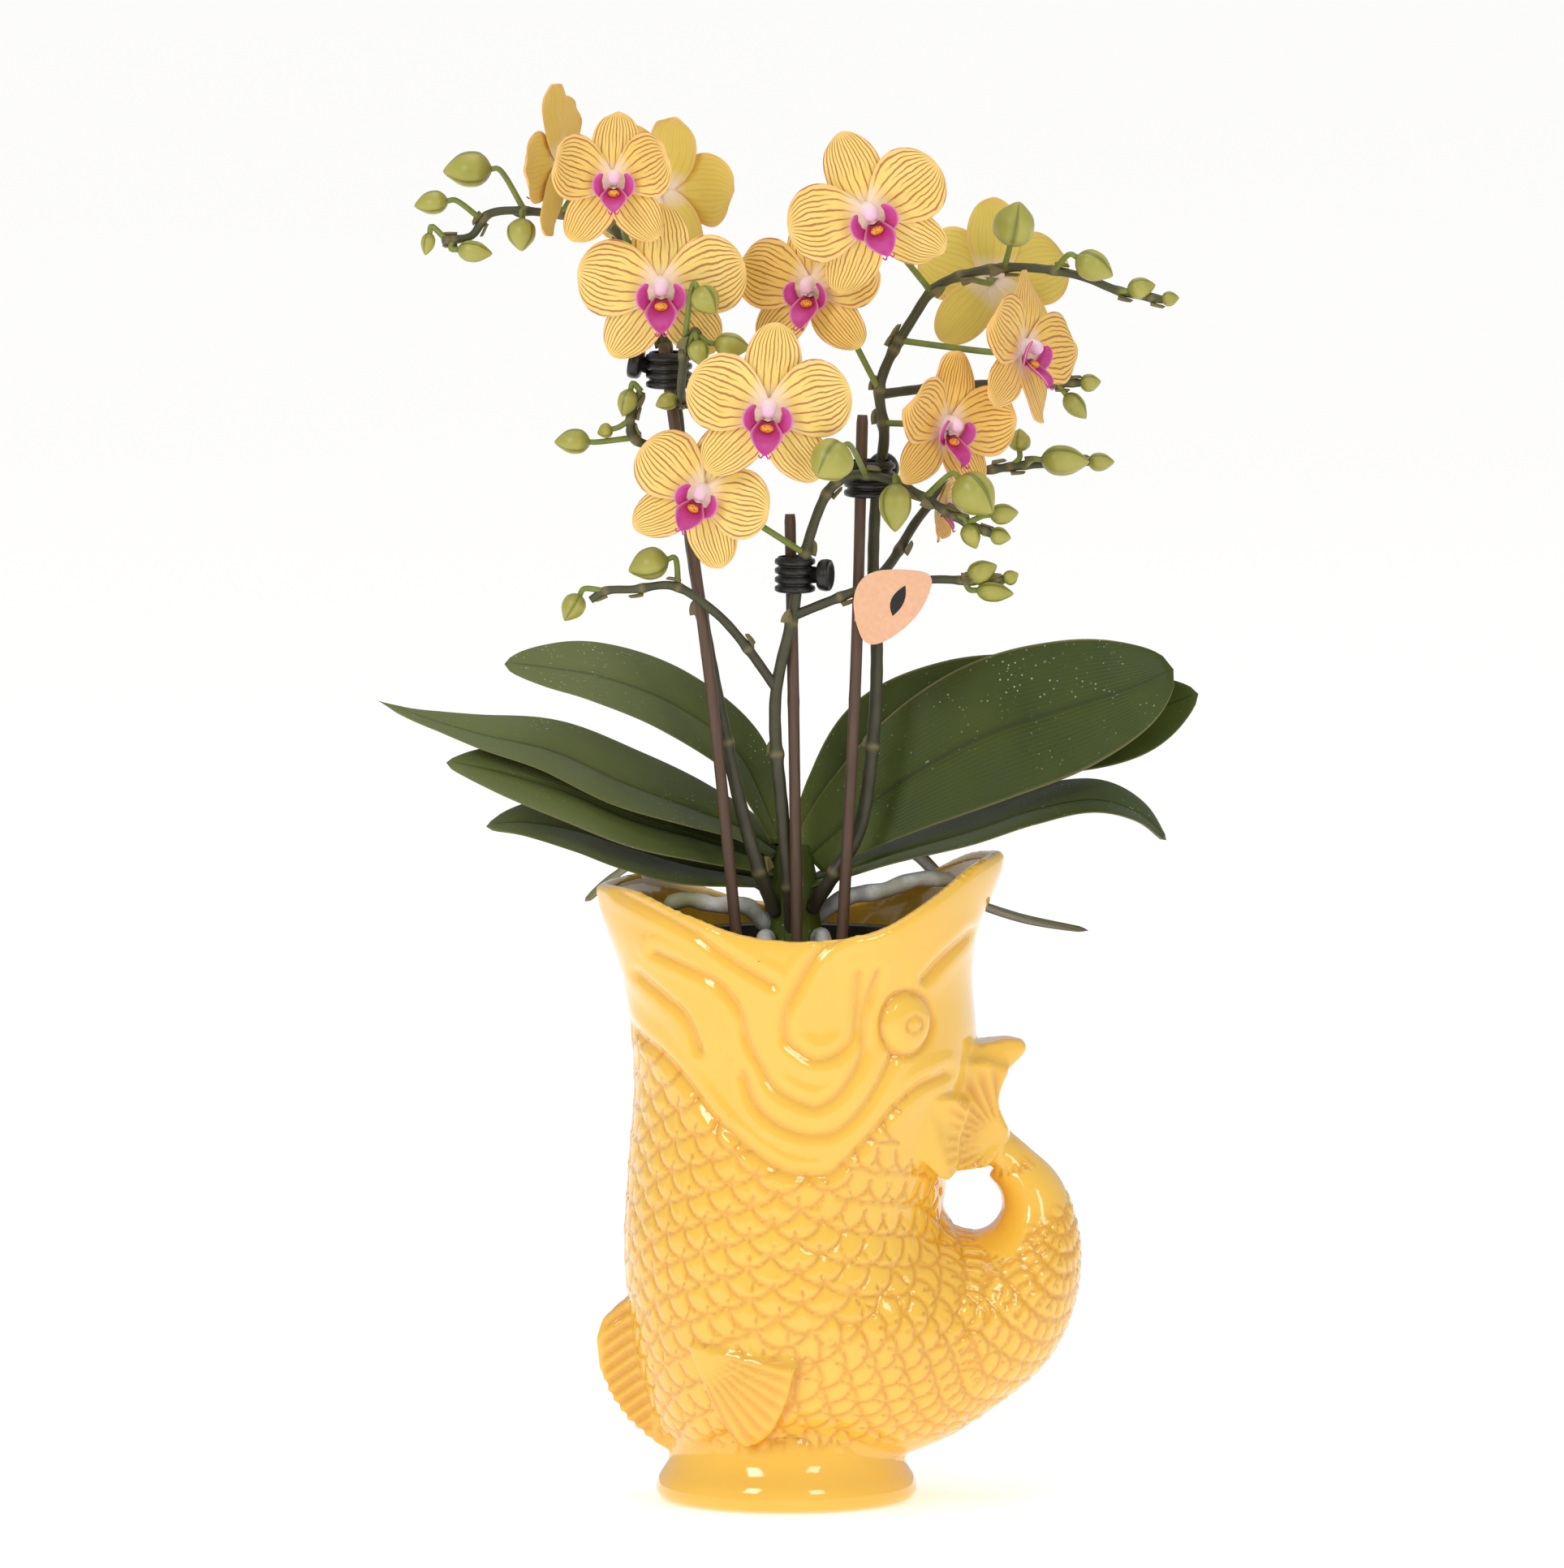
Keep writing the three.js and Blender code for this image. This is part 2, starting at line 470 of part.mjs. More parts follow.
// Flowers: where the middle is, how far it is turned to the right and tipped up, its roll, its size as a
// share of FLOWER_WIDTH, and the point of the spike that its stalk grows from.
const flowers = [
  { name: "flower_1", at: [-47.5, -31, 218], turn: 0, tip: 12, roll: 0, size: 0.84,
    from: "spike_left", stalk: [-44, -3, 198] },
  { name: "flower_2", at: [-62, -2, 221], turn: -110, tip: 0, roll: -18, size: 0.92,
    from: "spike_left", stalk: [-62, 3, 206] },
  { name: "flower_3", at: [-34.5, -22, 187.5], turn: 0, tip: 0, roll: 0, size: 1,
    from: "spike_left", stalk: [-37, -3, 183] },
  { name: "flower_4", at: [-34, 14, 212], turn: 150, tip: 10, roll: 16, size: 0.95,
    from: "spike_left", stalk: [-38, -3, 188] },
  { name: "flower_5", at: [-23.5, -34, 132], turn: -8, tip: 0, roll: -25, size: 0.9,
    from: "spike_middle", stalk: [5, -9.5, 113] },
  { name: "flower_6", at: [7, -12, 187], turn: -20, tip: 0, roll: 0, size: 0.92,
    from: "spike_right", stalk: [26, 5, 157] },
  { name: "flower_7", at: [23, -31, 209], turn: 5, tip: 0, roll: 22, size: 1,
    from: "spike_right", stalk: [40, 6, 184] },
  { name: "flower_8", at: [-5, -45, 156], turn: 0, tip: 0, roll: -5, size: 1,
    from: "spike_middle", stalk: [14, -9.3, 133] },
  { name: "flower_9", at: [57, 22, 186], turn: 170, tip: 0, roll: 0, size: 0.95,
    from: "spike_right", stalk: [48, 6, 188.5] },
  { name: "flower_10", at: [65, -7, 169], turn: 56, tip: 5, roll: -15, size: 0.92,
    from: "spike_right", stalk: [31, 5.6, 171] },
  { name: "flower_11", at: [44, -12, 148.5], turn: 38, tip: 0, roll: -8, size: 0.9,
    from: "spike_right", stalk: [27, 4, 148] },
  { name: "flower_12", at: [42, 2, 126], turn: 80, tip: -15, roll: 0, size: 0.55,
    from: "spike_middle", stalk: [33, -11.6, 132] },
];

// Buds: middle, direction of the tip, length, width, and where the stalk grows from. One with a name is a
// piece of its own. The small ones without a name are one piece with the stem that they grow on.
const buds = [
  { name: "bud_left_1", at: [-88, 6, 218], tip: [-1, 0, -0.05], length: 13.5, width: 10,
    from: "spike_left", stalk: [-72, 4, 206.3] },
  { name: "bud_left_2", at: [-98, 4, 209], tip: [-1, 0, -0.15], length: 9.5, width: 6.6,
    from: "spike_left", stalk: [-84, 5, 204] },
  { name: "bud_left_3", at: [-73, -3, 201], tip: [0, -0.4, -1], length: 9.5, width: 8,
    from: "spike_left", stalk: [-72, 4, 206.3] },
  { name: "bud_left_4", at: [-86, 0, 196], tip: [1, -0.2, -0.1], length: 10, width: 6,
    from: "spike_left", stalk: [-92, 3, 199] },
  { at: [-99, 2, 198], tip: [-0.2, 0, -1], length: 6.5, width: 4,
    from: "spike_left", stalk: [-94, 2.4, 199.4] },
  { name: "bud_front_1", at: [-22, -32.5, 185.5], tip: [0.5, -0.3, -0.7], length: 9, width: 8,
    from: "branch_left_front", stalk: [-28, -28, 172] },
  { name: "bud_front_2", at: [-15, -31, 173], tip: [1, -0.2, -0.1], length: 10, width: 7,
    from: "branch_left_front", stalk: [-25, -28.7, 176.5] },
  { at: [-24, -31, 171], tip: [0.2, -0.2, -0.9], length: 7.5, width: 6,
    from: "branch_left_front", stalk: [-28.3, -28, 170] },
  { at: [-33, -17, 156], tip: [-0.9, -0.2, -0.3], length: 6.5, width: 5,
    from: "branch_left_front", stalk: [-29, -15, 156] },
  { name: "bud_side_1", at: [-59, -8, 144], tip: [-1, 0, 0], length: 10, width: 7,
    from: "branch_left_side", stalk: [-42, -7, 145] },
  { at: [-50, -8, 147], tip: [-1, 0, -0.3], length: 4.5, width: 4.2,
    from: "branch_left_side", stalk: [-43, -8, 150] },
  { at: [-44, -9, 155], tip: [-0.3, -0.2, -1], length: 8, width: 5.5,
    from: "branch_left_side", stalk: [-40, -8, 158] },
  { name: "bud_middle_1", at: [12, -54, 143], tip: [-0.5, -0.6, -0.5], length: 13, width: 12,
    from: "spike_middle", stalk: [22, -10.5, 135] },
  { name: "bud_middle_2", at: [30, -19, 127], tip: [0, -0.1, -1], length: 13.5, width: 9,
    from: "spike_middle", stalk: [32, -11.5, 132.5] },
  { name: "bud_middle_3", at: [52, -26, 131], tip: [0.6, -0.3, -0.6], length: 14, width: 12,
    from: "spike_middle", stalk: [38, -12, 129] },
  { at: [60, -17, 125], tip: [1, 0, 0.1], length: 8, width: 5.8,
    from: "spike_middle", stalk: [50, -13.3, 122] },
  { at: [51, -14, 118.5], tip: [0.4, 0, -1], length: 7.5, width: 5.4,
    from: "spike_middle", stalk: [46, -13, 124] },
  { at: [59, -14, 118.5], tip: [1, 0, -0.2], length: 6, width: 5,
    from: "spike_middle", stalk: [55, -13.8, 119.8] },
  { name: "bud_low_left_1", at: [-38, -14, 110.5], tip: [-1, 0, -0.3], length: 11.5, width: 9,
    from: "branch_middle_left", stalk: [-30, -17, 104.5] },
  { name: "bud_low_left_2", at: [-59, -16.5, 99], tip: [-0.6, 0, -1], length: 8.5, width: 6.5,
    from: "branch_middle_left", stalk: [-50, -16, 103.5] },
  { at: [54, -8, 108], tip: [0.9, 0, 0.4], length: 9, width: 6.6,
    from: "branch_middle_right", stalk: [48, -8, 105.8] },
  { at: [57.5, -9, 102.5], tip: [1, 0, -0.1], length: 10.5, width: 5.6,
    from: "branch_middle_right", stalk: [49, -8, 105.8] },
  { at: [62, -8, 106.5], tip: [1, 0, 0.5], length: 4.6, width: 4.2,
    from: "branch_middle_right", stalk: [58, -8, 106] },
  { name: "bud_right_1", at: [63, -2, 204], tip: [0.2, -0.4, 1], length: 13.5, width: 11.5,
    from: "spike_right", stalk: [60, 6, 191] },
  { name: "bud_right_2", at: [85, -1, 192], tip: [1, -0.2, -0.5], length: 11.5, width: 8.5,
    from: "spike_right", stalk: [74, 6, 190] },
  { at: [98, 5, 185.5], tip: [1, 0, 0.2], length: 8, width: 6,
    from: "spike_right", stalk: [92, 6, 184.5] },
  { at: [106, 5, 182.5], tip: [1, 0, 0.1], length: 5, width: 4.2,
    from: "spike_right", stalk: [101, 5.4, 182.6] },
  { name: "bud_right_3", at: [77, 10.5, 137], tip: [1, 0, -0.05], length: 13.5, width: 8.5,
    from: "branch_right_low", stalk: [66, 17, 134.9] },
  { at: [87, 17, 136], tip: [1, 0, 0], length: 7.5, width: 5.2,
    from: "branch_right_low", stalk: [81, 17, 135.8] },
  { at: [64.5, 17, 142], tip: [0, 0, 1], length: 6.5, width: 6.2,
    from: "branch_right_low", stalk: [62, 17, 134.7] },
  { at: [84, 12, 158.5], tip: [1, 0, 0.1], length: 6, width: 5,
    from: "branch_right_high", stalk: [79, 12, 158.4] },
  { at: [80, 12, 152], tip: [0.5, 0, -0.6], length: 9, width: 5.6,
    from: "branch_right_high", stalk: [74, 12.6, 158.1] },
];

/** Frame of a flower: its own +Z faces out of it and its own +Y is up. */
function flowerTurn(flower) {
  const turn = degrees(flower.turn);
  const tip = degrees(flower.tip);
  const facing = vector([Math.sin(turn) * Math.cos(tip), -Math.cos(turn) * Math.cos(tip), Math.sin(tip)]);
  const right = new THREE.Vector3(0, 0, 1).cross(facing).normalize();
  const up = facing.clone().cross(right);
  const frame = new THREE.Matrix4().makeBasis(right, up, facing);
  return { facing, frame: frame.multiply(new THREE.Matrix4().makeRotationZ(degrees(flower.roll))) };
}

const pathOf = (name) => spikes[name] ?? branches.find((branch) => branch.name === name).path;

/** The point on a stem's centre line that is nearest to a stalk's foot. */
function onStem({ from, stalk }) {
  const foot = vector(stalk);
  const curve = curveThrough(pathOf(from));
  const rungs = curve.getSpacedPoints(stemSteps(curve, STEM_STEP));
  const near = rungs.slice(1).map((rung, i) => {
    return new THREE.Line3(rungs[i], rung).closestPointToPoint(foot, true, new THREE.Vector3());
  });
  return near.reduce((best,
  place) => (place.distanceTo(foot) < best.distanceTo(foot) ? place : best)).toArray();
}

const backOfFlower = SEPAL_SET_BACK + TEPAL_THICKNESS / 2 + 0.2;

/** Stalk from a spike to the back of a flower. */
function flowerStalk(flower) {
  const { facing } = flowerTurn(flower);
  const back = vector(flower.at).addScaledVector(facing, -(backOfFlower * flower.size + CLEARANCE));
  const behind = back.clone().addScaledVector(facing, -STALK_BEND);
  return stem([onStem(flower), behind.toArray(), back.toArray()], STALK_RADIUS, STALK_RADIUS,
  { sides: 4, step: 12 });
}

const budDirection = (bud) => vector(bud.tip).normalize();
const budBase = (bud) => vector(bud.at).addScaledVector(budDirection(bud), -bud.length / 2);

/** Stalk from a stem to the base of a bud, ending short of a bud that is a piece of its own. */
function budStalk(bud) {
  const reach = bud.name ? -CLEARANCE - 0.1 : 1;
  const end = budBase(bud).addScaledVector(budDirection(bud), reach);
  const behind = end.clone().addScaledVector(budDirection(bud), -2);
  return stem([onStem(bud), behind.toArray(), end.toArray()], STALK_RADIUS, STALK_RADIUS * 0.8,
  { sides: 4, step: 12 });
}

function budSolid(bud) {
  const shape = [[0, 0], [0.34, 0.08], [0.5, 0.4], [0.38, 0.78], [0, 1]];
  const profile = shape.map(([r, z]) => new THREE.Vector2(r * bud.width, z * bud.length));
  const body = new THREE.LatheGeometry(profile, 7);
  body.rotateX(Math.PI / 2);
  const turn = new THREE.Quaternion().setFromUnitVectors(new THREE.Vector3(0, 0, 1), budDirection(bud));
  body.applyQuaternion(turn).translate(...budBase(bud).toArray());
  return solid(body);
}

/** A stem with its stalks and its small buds, as it grew. */
function stemWithStalks(name, core) {
  const stalks = flowers.filter((flower) => flower.from === name).map(flowerStalk);
  const own = buds.filter((bud) => bud.from === name);
  const small = own.filter((bud) => !bud.name).map(budSolid);
  return join(core, ...stalks, ...own.map(budStalk), ...small);
}

const spikeSolid = (name, grow = 0) => stem(spikes[name], SPIKE_RADIUS, SPIKE_TIP_RADIUS, { grow });

function branchSolid(branch) {
  const core = stem(branch.path, BRANCH_RADIUS, BRANCH_RADIUS * 0.75);
  return cut(stemWithStalks(branch.name, core), spikeSolid(branch.from, CLEARANCE));
}

/** One petal or sepal, lying in its flower's own XY plane and pointing at `angle`. */
function tepal(angle, length, width, widest, lift) {
  const out = [Math.cos(degrees(angle)), Math.sin(degrees(angle))];
  const reach = [0.04, 0.35, 0.7, 1];
  return blade({
    path: reach.map((u) => [out[0] * u * length, out[1] * u * length, lift + 2 * u * (1 - u)]),
    across: [-out[1], out[0], 0],
    width, base: 0.3, widest, thickness: TEPAL_THICKNESS, fold: 0.05, stations: [0, 0.45, 0.8, 1],
  });
}

/** A whole flower of full width, facing its own +Z. */
function flowerSolid() {
  const s = FLOWER_WIDTH / 47;
  const tepals = [
    tepal(90, 25 * s, 16 * s, 0.5, -SEPAL_SET_BACK), tepal(230, 24 * s, 15 * s, 0.5, -SEPAL_SET_BACK),
    tepal(310, 24 * s, 15 * s, 0.5, -SEPAL_SET_BACK),
    tepal(18, 24 * s, 22 * s, 0.62, 0), tepal(162, 24 * s, 22 * s, 0.62, 0),
  ];
  const column = new THREE.SphereGeometry(1, 6, 4);
  column.scale(2.8 * s, 2.8 * s, 4.4 * s).translate(0, 0, 2.6 * s);
  const lip = blade({
    path: [[0, -1 * s, 1 * s], [0, -6 * s, 6 * s], [0, -11 * s, 7 * s]],
    across: [1, 0, 0], width: 11 * s, base: 0.7, widest: 0.5, thickness: 2 * TEPAL_THICKNESS, fold: 0.3,
    stations: [0, 0.5, 1],
  });
  return join(...tepals, solid(column), lip);
}

// Sticks: where each stands in the bark, its middle and its top.
const sticks = [
  { name: "stick_left", foot: [-13, -15, 0], middle: [-21, -13, 78], top: [-34, -10, 171.5] },
  { name: "stick_middle", foot: [3, -16, 0], middle: [2, -8.5, 70], top: [1, -2.5, 123.5] },
  { name: "stick_right", foot: [15, -17, 0], middle: [19, -9, 76], top: [21, -2.5, 151] },
];

function stickPath({ foot, middle, top }) {
  const down = vector(foot).sub(vector(middle)).normalize().multiplyScalar(STICK_DEPTH);
  return [vector(foot).add(down).toArray(), foot, middle, top];
}

const stickSolid = (stick, grow = 0) =>
  stem(stickPath(stick), STICK_RADIUS, STICK_RADIUS, { grow, sides: 7, step: 45 });

/** Where a path crosses a height above the bark. */
function pathAt(path, height) {
  const curve = curveThrough(path);
  let best = curve.getPointAt(0);
  for (let u = 0; u <= 1; u += 0.002) {
    const point = curve.getPointAt(u);
    if (Math.abs(point.z - height) < Math.abs(best.z - height)) best = point;
  }
  return best;
}

// Spring clips that hold a spike to its stick. `push` is the side that the thumb button is on.
const clips = [
  { name: "clip_left", stick: 0, spike: "spike_left", height: 164, push: [-1, 0.2, 0.2] },
  { name: "clip_middle", stick: 1, spike: "spike_middle", height: 107, push: [1, -0.3, 0] },
  { name: "clip_right", stick: 2, spike: "spike_right", height: 133, push: [0.4, 1, 0.2] },
];

function clipSolid(clip) {
  const stick = sticks[clip.stick];
  const a = pathAt(stickPath(stick), clip.height);
  const b = pathAt(spikes[clip.spike], clip.height);
  const middle = a.clone().lerp(b, 0.5);
  const radius = a.distanceTo(b) / 2 + SPIKE_RADIUS + CLEARANCE + CLIP_WALL;
  const barrel = new THREE.CylinderGeometry(radius, radius, CLIP_HEIGHT, 10);
  barrel.rotateX(Math.PI / 2).translate(middle.x, middle.y, middle.z);
  const push = vector(clip.push).normalize();
  const button = new THREE.CylinderGeometry(CLIP_BUTTON_RADIUS, CLIP_BUTTON_RADIUS, CLIP_BUTTON_LENGTH,
    8);
  button.applyQuaternion(new THREE.Quaternion().setFromUnitVectors(new THREE.Vector3(0, 1, 0), push));
  const seat = middle.clone().addScaledVector(push, radius + CLIP_BUTTON_LENGTH / 2 - 1.2);
  button.translate(seat.x, seat.y, seat.z);
  const others = sticks.map((each) => stickSolid(each, CLEARANCE));
  return cut(join(solid(barrel), solid(button)), ...others, spikeSolid(clip.spike, CLEARANCE));
}

/** Card tag in front of the right stick, on a paper band that goes round the stick. */
function tagSolid() {
  const height = 101;
  const half = CARD_WIDTH / 2;
  const outline = new THREE.Shape();
  outline.moveTo(-half, 2);
  outline.quadraticCurveTo(-half + 2, half, 2, half);
  outline.quadraticCurveTo(half, half + 0.5, half, half - 4);
  outline.quadraticCurveTo(half - 2, 0, 3, -half + 2);
  outline.quadraticCurveTo(-4, -half - 2, -8, -half + 3);
  outline.quadraticCurveTo(-half, -5, -half, 2);
  const card = new THREE.ExtrudeGeometry(outline, { depth: CARD_THICKNESS, bevelEnabled: false,
    curveSegments: 4 });
  const post = pathAt(stickPath(sticks[2]), height);
  const bandRadius = STICK_RADIUS + CLEARANCE + 0.8;
  const cardFace = post.y - CARD_FORWARD;
  card.rotateX(Math.PI / 2).translate(post.x + CARD_ASIDE, cardFace, height - 2);
  const band = new THREE.CylinderGeometry(bandRadius, bandRadius, BAND_WIDTH, 12);
  band.rotateX(Math.PI / 2).translate(post.x, post.y, height - 8);
  const reach = post.y - bandRadius - cardFace + 1;
  const strap = new THREE.BoxGeometry(3, reach, BAND_WIDTH);
  strap.translate(post.x, cardFace + reach / 2 - 0.3, height - 8);
  return cut(join(solid(card), solid(band), solid(strap)), stickSolid(sticks[2], CLEARANCE));
}

// ---- the assembly ----
const orchid = new THREE.Group();
const plant = new THREE.Group();
plant.position.z = barkTop;
orchid.add(plant);

function add(parent, name, geometry, colour, roughness, metalness = 0) {
  const material = new THREE.MeshStandardMaterial({ color: colour, roughness, metalness,
    flatShading: true });
  const mesh = new THREE.Mesh(geometry, material);
  mesh.name = name;
  parent.add(mesh);
  return mesh;
}

const inBark = [...sticks.map((stick) => stickSolid(stick, CLEARANCE)),
  ...roots.map((root) => rootSolid(root, CLEARANCE)), crownHole];
const inCrown = [
  ...leaves.map((leaf) => leafSolid(leaf, CLEARANCE)),
  ...roots.map((root) => rootSolid(root, CLEARANCE)),
  ...Object.keys(spikes).map((name) => spikeSolid(name, CLEARANCE)),
];

add(orchid, "fish_pot", surface(ceramicPot()), 0xf7c34a, 0.12);
add(orchid, "nursery_pot", surface(nurseryPot()), 0x15140f, 0.5);
add(orchid, "bark_mix", surface(barkFill(inBark.map((body) => body.translate([0, 0, barkTop])))),
0x3a2418, 0.95);
add(plant, "crown", surface(crown(inCrown)), 0x4a5a2a, 0.6);
for (const leaf of leaves) add(plant, leaf.name, surface(leafSolid(leaf)), leaf.colour, 0.45);
for (const root of roots) add(plant, root.name, surface(rootSolid(root)), 0xa5a8a0, 0.8);
for (const name of Object.keys(spikes)) {
  add(plant, name, surface(stemWithStalks(name, spikeSolid(name))), 0x4a4030, 0.55);
}
for (const branch of branches) add(plant, branch.name, surface(branchSolid(branch)), 0x55502f, 0.55);
for (const stick of sticks) add(plant, stick.name, surface(stickSolid(stick)), 0x5a3626, 0.7);
for (const clip of clips) add(plant, clip.name, surface(clipSolid(clip)), 0x101010, 0.4);
add(plant, "tag_card", surface(tagSolid()), 0xe9b48c, 0.85);

const flowerShape = surface(flowerSolid());
for (const flower of flowers) {
  const mesh = add(plant, flower.name, flowerShape, 0xf2cf62, 0.6);
  mesh.position.set(...flower.at);
  mesh.quaternion.setFromRotationMatrix(flowerTurn(flower).frame);
  mesh.scale.setScalar(flower.size);
}
for (const bud of buds.filter((each) => each.name)) add(plant, bud.name, surface(budSolid(bud)),
0xb4bb4e, 0.5);

export default orchid;
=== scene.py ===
"""A small moth orchid in flower, growing in a glazed pot shaped as a carp that curls up its tail."""

import math

import bmesh
import bpy
import numpy as np
from mathutils import Matrix, Vector
from mathutils.kdtree import KDTree


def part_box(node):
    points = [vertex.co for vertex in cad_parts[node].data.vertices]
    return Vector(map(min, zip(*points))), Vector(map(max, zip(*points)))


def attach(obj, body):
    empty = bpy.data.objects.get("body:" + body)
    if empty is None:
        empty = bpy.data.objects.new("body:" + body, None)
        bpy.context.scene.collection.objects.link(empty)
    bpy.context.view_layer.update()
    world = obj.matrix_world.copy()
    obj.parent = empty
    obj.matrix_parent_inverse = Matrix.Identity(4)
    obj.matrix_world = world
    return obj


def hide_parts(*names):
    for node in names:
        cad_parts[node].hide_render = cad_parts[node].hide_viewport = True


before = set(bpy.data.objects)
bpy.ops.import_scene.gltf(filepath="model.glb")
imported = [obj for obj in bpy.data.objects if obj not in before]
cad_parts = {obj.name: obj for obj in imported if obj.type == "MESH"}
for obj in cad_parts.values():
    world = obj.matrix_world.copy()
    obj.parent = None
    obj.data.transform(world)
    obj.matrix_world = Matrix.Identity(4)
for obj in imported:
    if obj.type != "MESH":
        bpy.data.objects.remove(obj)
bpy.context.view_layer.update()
MM = 0.001


# ---- studio ----
# A pale sweep with two tall soft boxes in front and a broad one overhead, as for a plant catalogue.
# The camera stands far back with a long lens, a little above the pot.
CAMERA_PLACE = Vector((-0.0012, -9.94151, 1.27923))
CAMERA_AIM = Vector((-0.0012, 0.0, 0.19923))
FLOOR_SIZE = 30.0

lens = bpy.data.cameras.new("studio_camera")
lens.sensor_width = 36.0
lens.lens = 830.6
lens.clip_end = 60.0
camera = bpy.data.objects.new("studio_camera", lens)
camera.location = CAMERA_PLACE
camera.rotation_euler = (CAMERA_AIM - CAMERA_PLACE).to_track_quat("-Z", "Y").to_euler()
bpy.context.scene.collection.objects.link(camera)
bpy.context.scene.camera = camera
bpy.context.scene.view_settings.view_transform = "Standard"


def new_material(name):
    """A node material, with its tree and its shader."""
    material = bpy.data.materials.new(name)
    material.use_nodes = True
    return material, material.node_tree, material.node_tree.nodes["Principled BSDF"]


def add_node(tree, kind, inputs=(), **settings):
    """Adds a node, sets its properties, and fills inputs {name or number: value or socket}."""
    node = tree.nodes.new(kind)
    for key, value in settings.items():
        setattr(node, key, value)
    for key, value in dict(inputs).items():
        if isinstance(value, bpy.types.NodeSocket):
            tree.links.new(value, node.inputs[key])
        else:
            node.inputs[key].default_value = value
    return node


def colour(text):
    """Linear colour of a six-digit screen colour."""
    parts = [int(text[i : i + 2], 16) / 255 for i in (0, 2, 4)]
    return tuple(p / 12.92 if p <= 0.04045 else ((p + 0.055) / 1.055) ** 2.4 for p in parts) + (1.0,)


def blend(tree, amount, first, second):
    """A colour between two, each a socket or a six-digit screen colour."""
    first, second = (colour(end) if isinstance(end, str) else end for end in (first, second))
    return add_node(tree, "ShaderNodeMix", {0: amount, 6: first, 7: second}, data_type="RGBA").outputs[2]


floor_mesh = bpy.data.meshes.new("studio_floor")
bm = bmesh.new()
bmesh.ops.create_grid(bm, x_segments=1, y_segments=1, size=FLOOR_SIZE / 2)
bm.to_mesh(floor_mesh)
bm.free()
floor = bpy.data.objects.new("studio_floor", floor_mesh)
bpy.context.scene.collection.objects.link(floor)
floor_material, tree, shader = new_material("pale_floor")
grain = add_node(tree, "ShaderNodeTexNoise", {"Scale": 40.0, "Detail": 3.0})
tree.links.new(blend(tree, grain.outputs["Fac"], "f8f7f5", "fcfbfa"), shader.inputs["Base Color"])
shader.inputs["Roughness"].default_value = 0.9
shader.inputs["Emission Color"].default_value = (1, 1, 1, 1)
shader.inputs["Emission Strength"].default_value = 0.45
floor_mesh.materials.append(floor_material)


def soft_box(name, place, aim, width, height, power):
    """One rectangular soft light."""
    light = bpy.data.lights.new(name, "AREA")
    light.shape = "RECTANGLE"
    light.size, light.size_y = width, height
    light.energy = power
    lamp = bpy.data.objects.new(name, light)
    lamp.location = place
    lamp.rotation_euler = (Vector(aim) - Vector(place)).to_track_quat("-Z", "Y").to_euler()
    bpy.context.scene.collection.objects.link(lamp)


soft_box("light_left", (-0.75, -1.1, 0.95), (0, 0, 0.17), 0.35, 0.6, 5.2)
soft_box("light_right", (0.65, -1.2, 0.8), (0, 0, 0.17), 0.3, 0.5, 2.6)
soft_box("light_top", (0.0, 0.1, 1.5), (0, 0, 0.2), 1.0, 1.0, 4.2)

world = bpy.data.worlds.new("studio_light")
world.use_nodes = True
bpy.context.scene.world = world
sky = world.node_tree.nodes["Background"]
seen = add_node(world.node_tree, "ShaderNodeLightPath")
strength = add_node(world.node_tree, "ShaderNodeMix", {0: seen.outputs["Is Camera Ray"], 2: 0.55, 3: 1.0})
sky.inputs["Color"].default_value = (1, 1, 1, 1)
world.node_tree.links.new(strength.outputs[0], sky.inputs["Strength"])


# ---- carp pot ----
# Slip-cast stoneware under a thick glossy yellow glaze. The body is one hollow form: a carp on its belly
# over a turned foot, mouth up, its tail bent round a finger hole. The glaze pools darker in the grooves.
HOLE_X, HOLE_Z, HOLE_RADIUS = 51.5, 83.0, 8.0
BODY_WIDTH, BODY_DEPTH, MOUTH_DEPTH = 88.0, 92.0, 98.0
MOUTH_LOW = 161.0
WALL = 4.2
POT_VOXEL = 0.97  # the grain of the clay when the parts are fused
KEPT_SHARE = 0.58  # of the faces, once the relief is in

# How far the mouth's edge rises at each x, and how far the belly and tail sides lean out at each level.
MOUTH_RISE = [
    (-53, 10.5), (-43, 11.3), (-28, 6.5), (-10, 1.2), (8, 0), (26, 3), (40, 10.5), (52, 18), (60, 20.5),
]
BELLY_SIDE = [
    (0, 0), (0.17, 1), (0.37, 2.3), (0.55, 1.3), (0.73, -1.6), (0.84, -4.8), (0.93, -7.4), (1, -8.5),
]
TAIL_SIDE = [
    (0, 0), (0.17, 3), (0.3, 6.5), (0.45, 9), (0.7, 8.3), (0.8, 10), (0.9, 14.7), (0.96, 16.7), (1, 16.5),
]
# How far the tail reaches from the finger hole, and its half thickness, at each angle round the hole.
TAIL_REACH = [
    (-62, 22), (-40, 22), (-20, 24.5), (10, 29.5), (38, 37.5), (64, 48.5), (85, 58), (104, 72), (126, 88),
    (143, 107), (152, 104), (165, 99), (180, BODY_WIDTH + HOLE_RADIUS),
]
TAIL_THICKNESS = [
    (-62, 9), (-40, 10), (-20, 12), (10, 15), (38, 20), (64, 24), (94, 30), (126, 42), (145, 46), (180, 46),
]


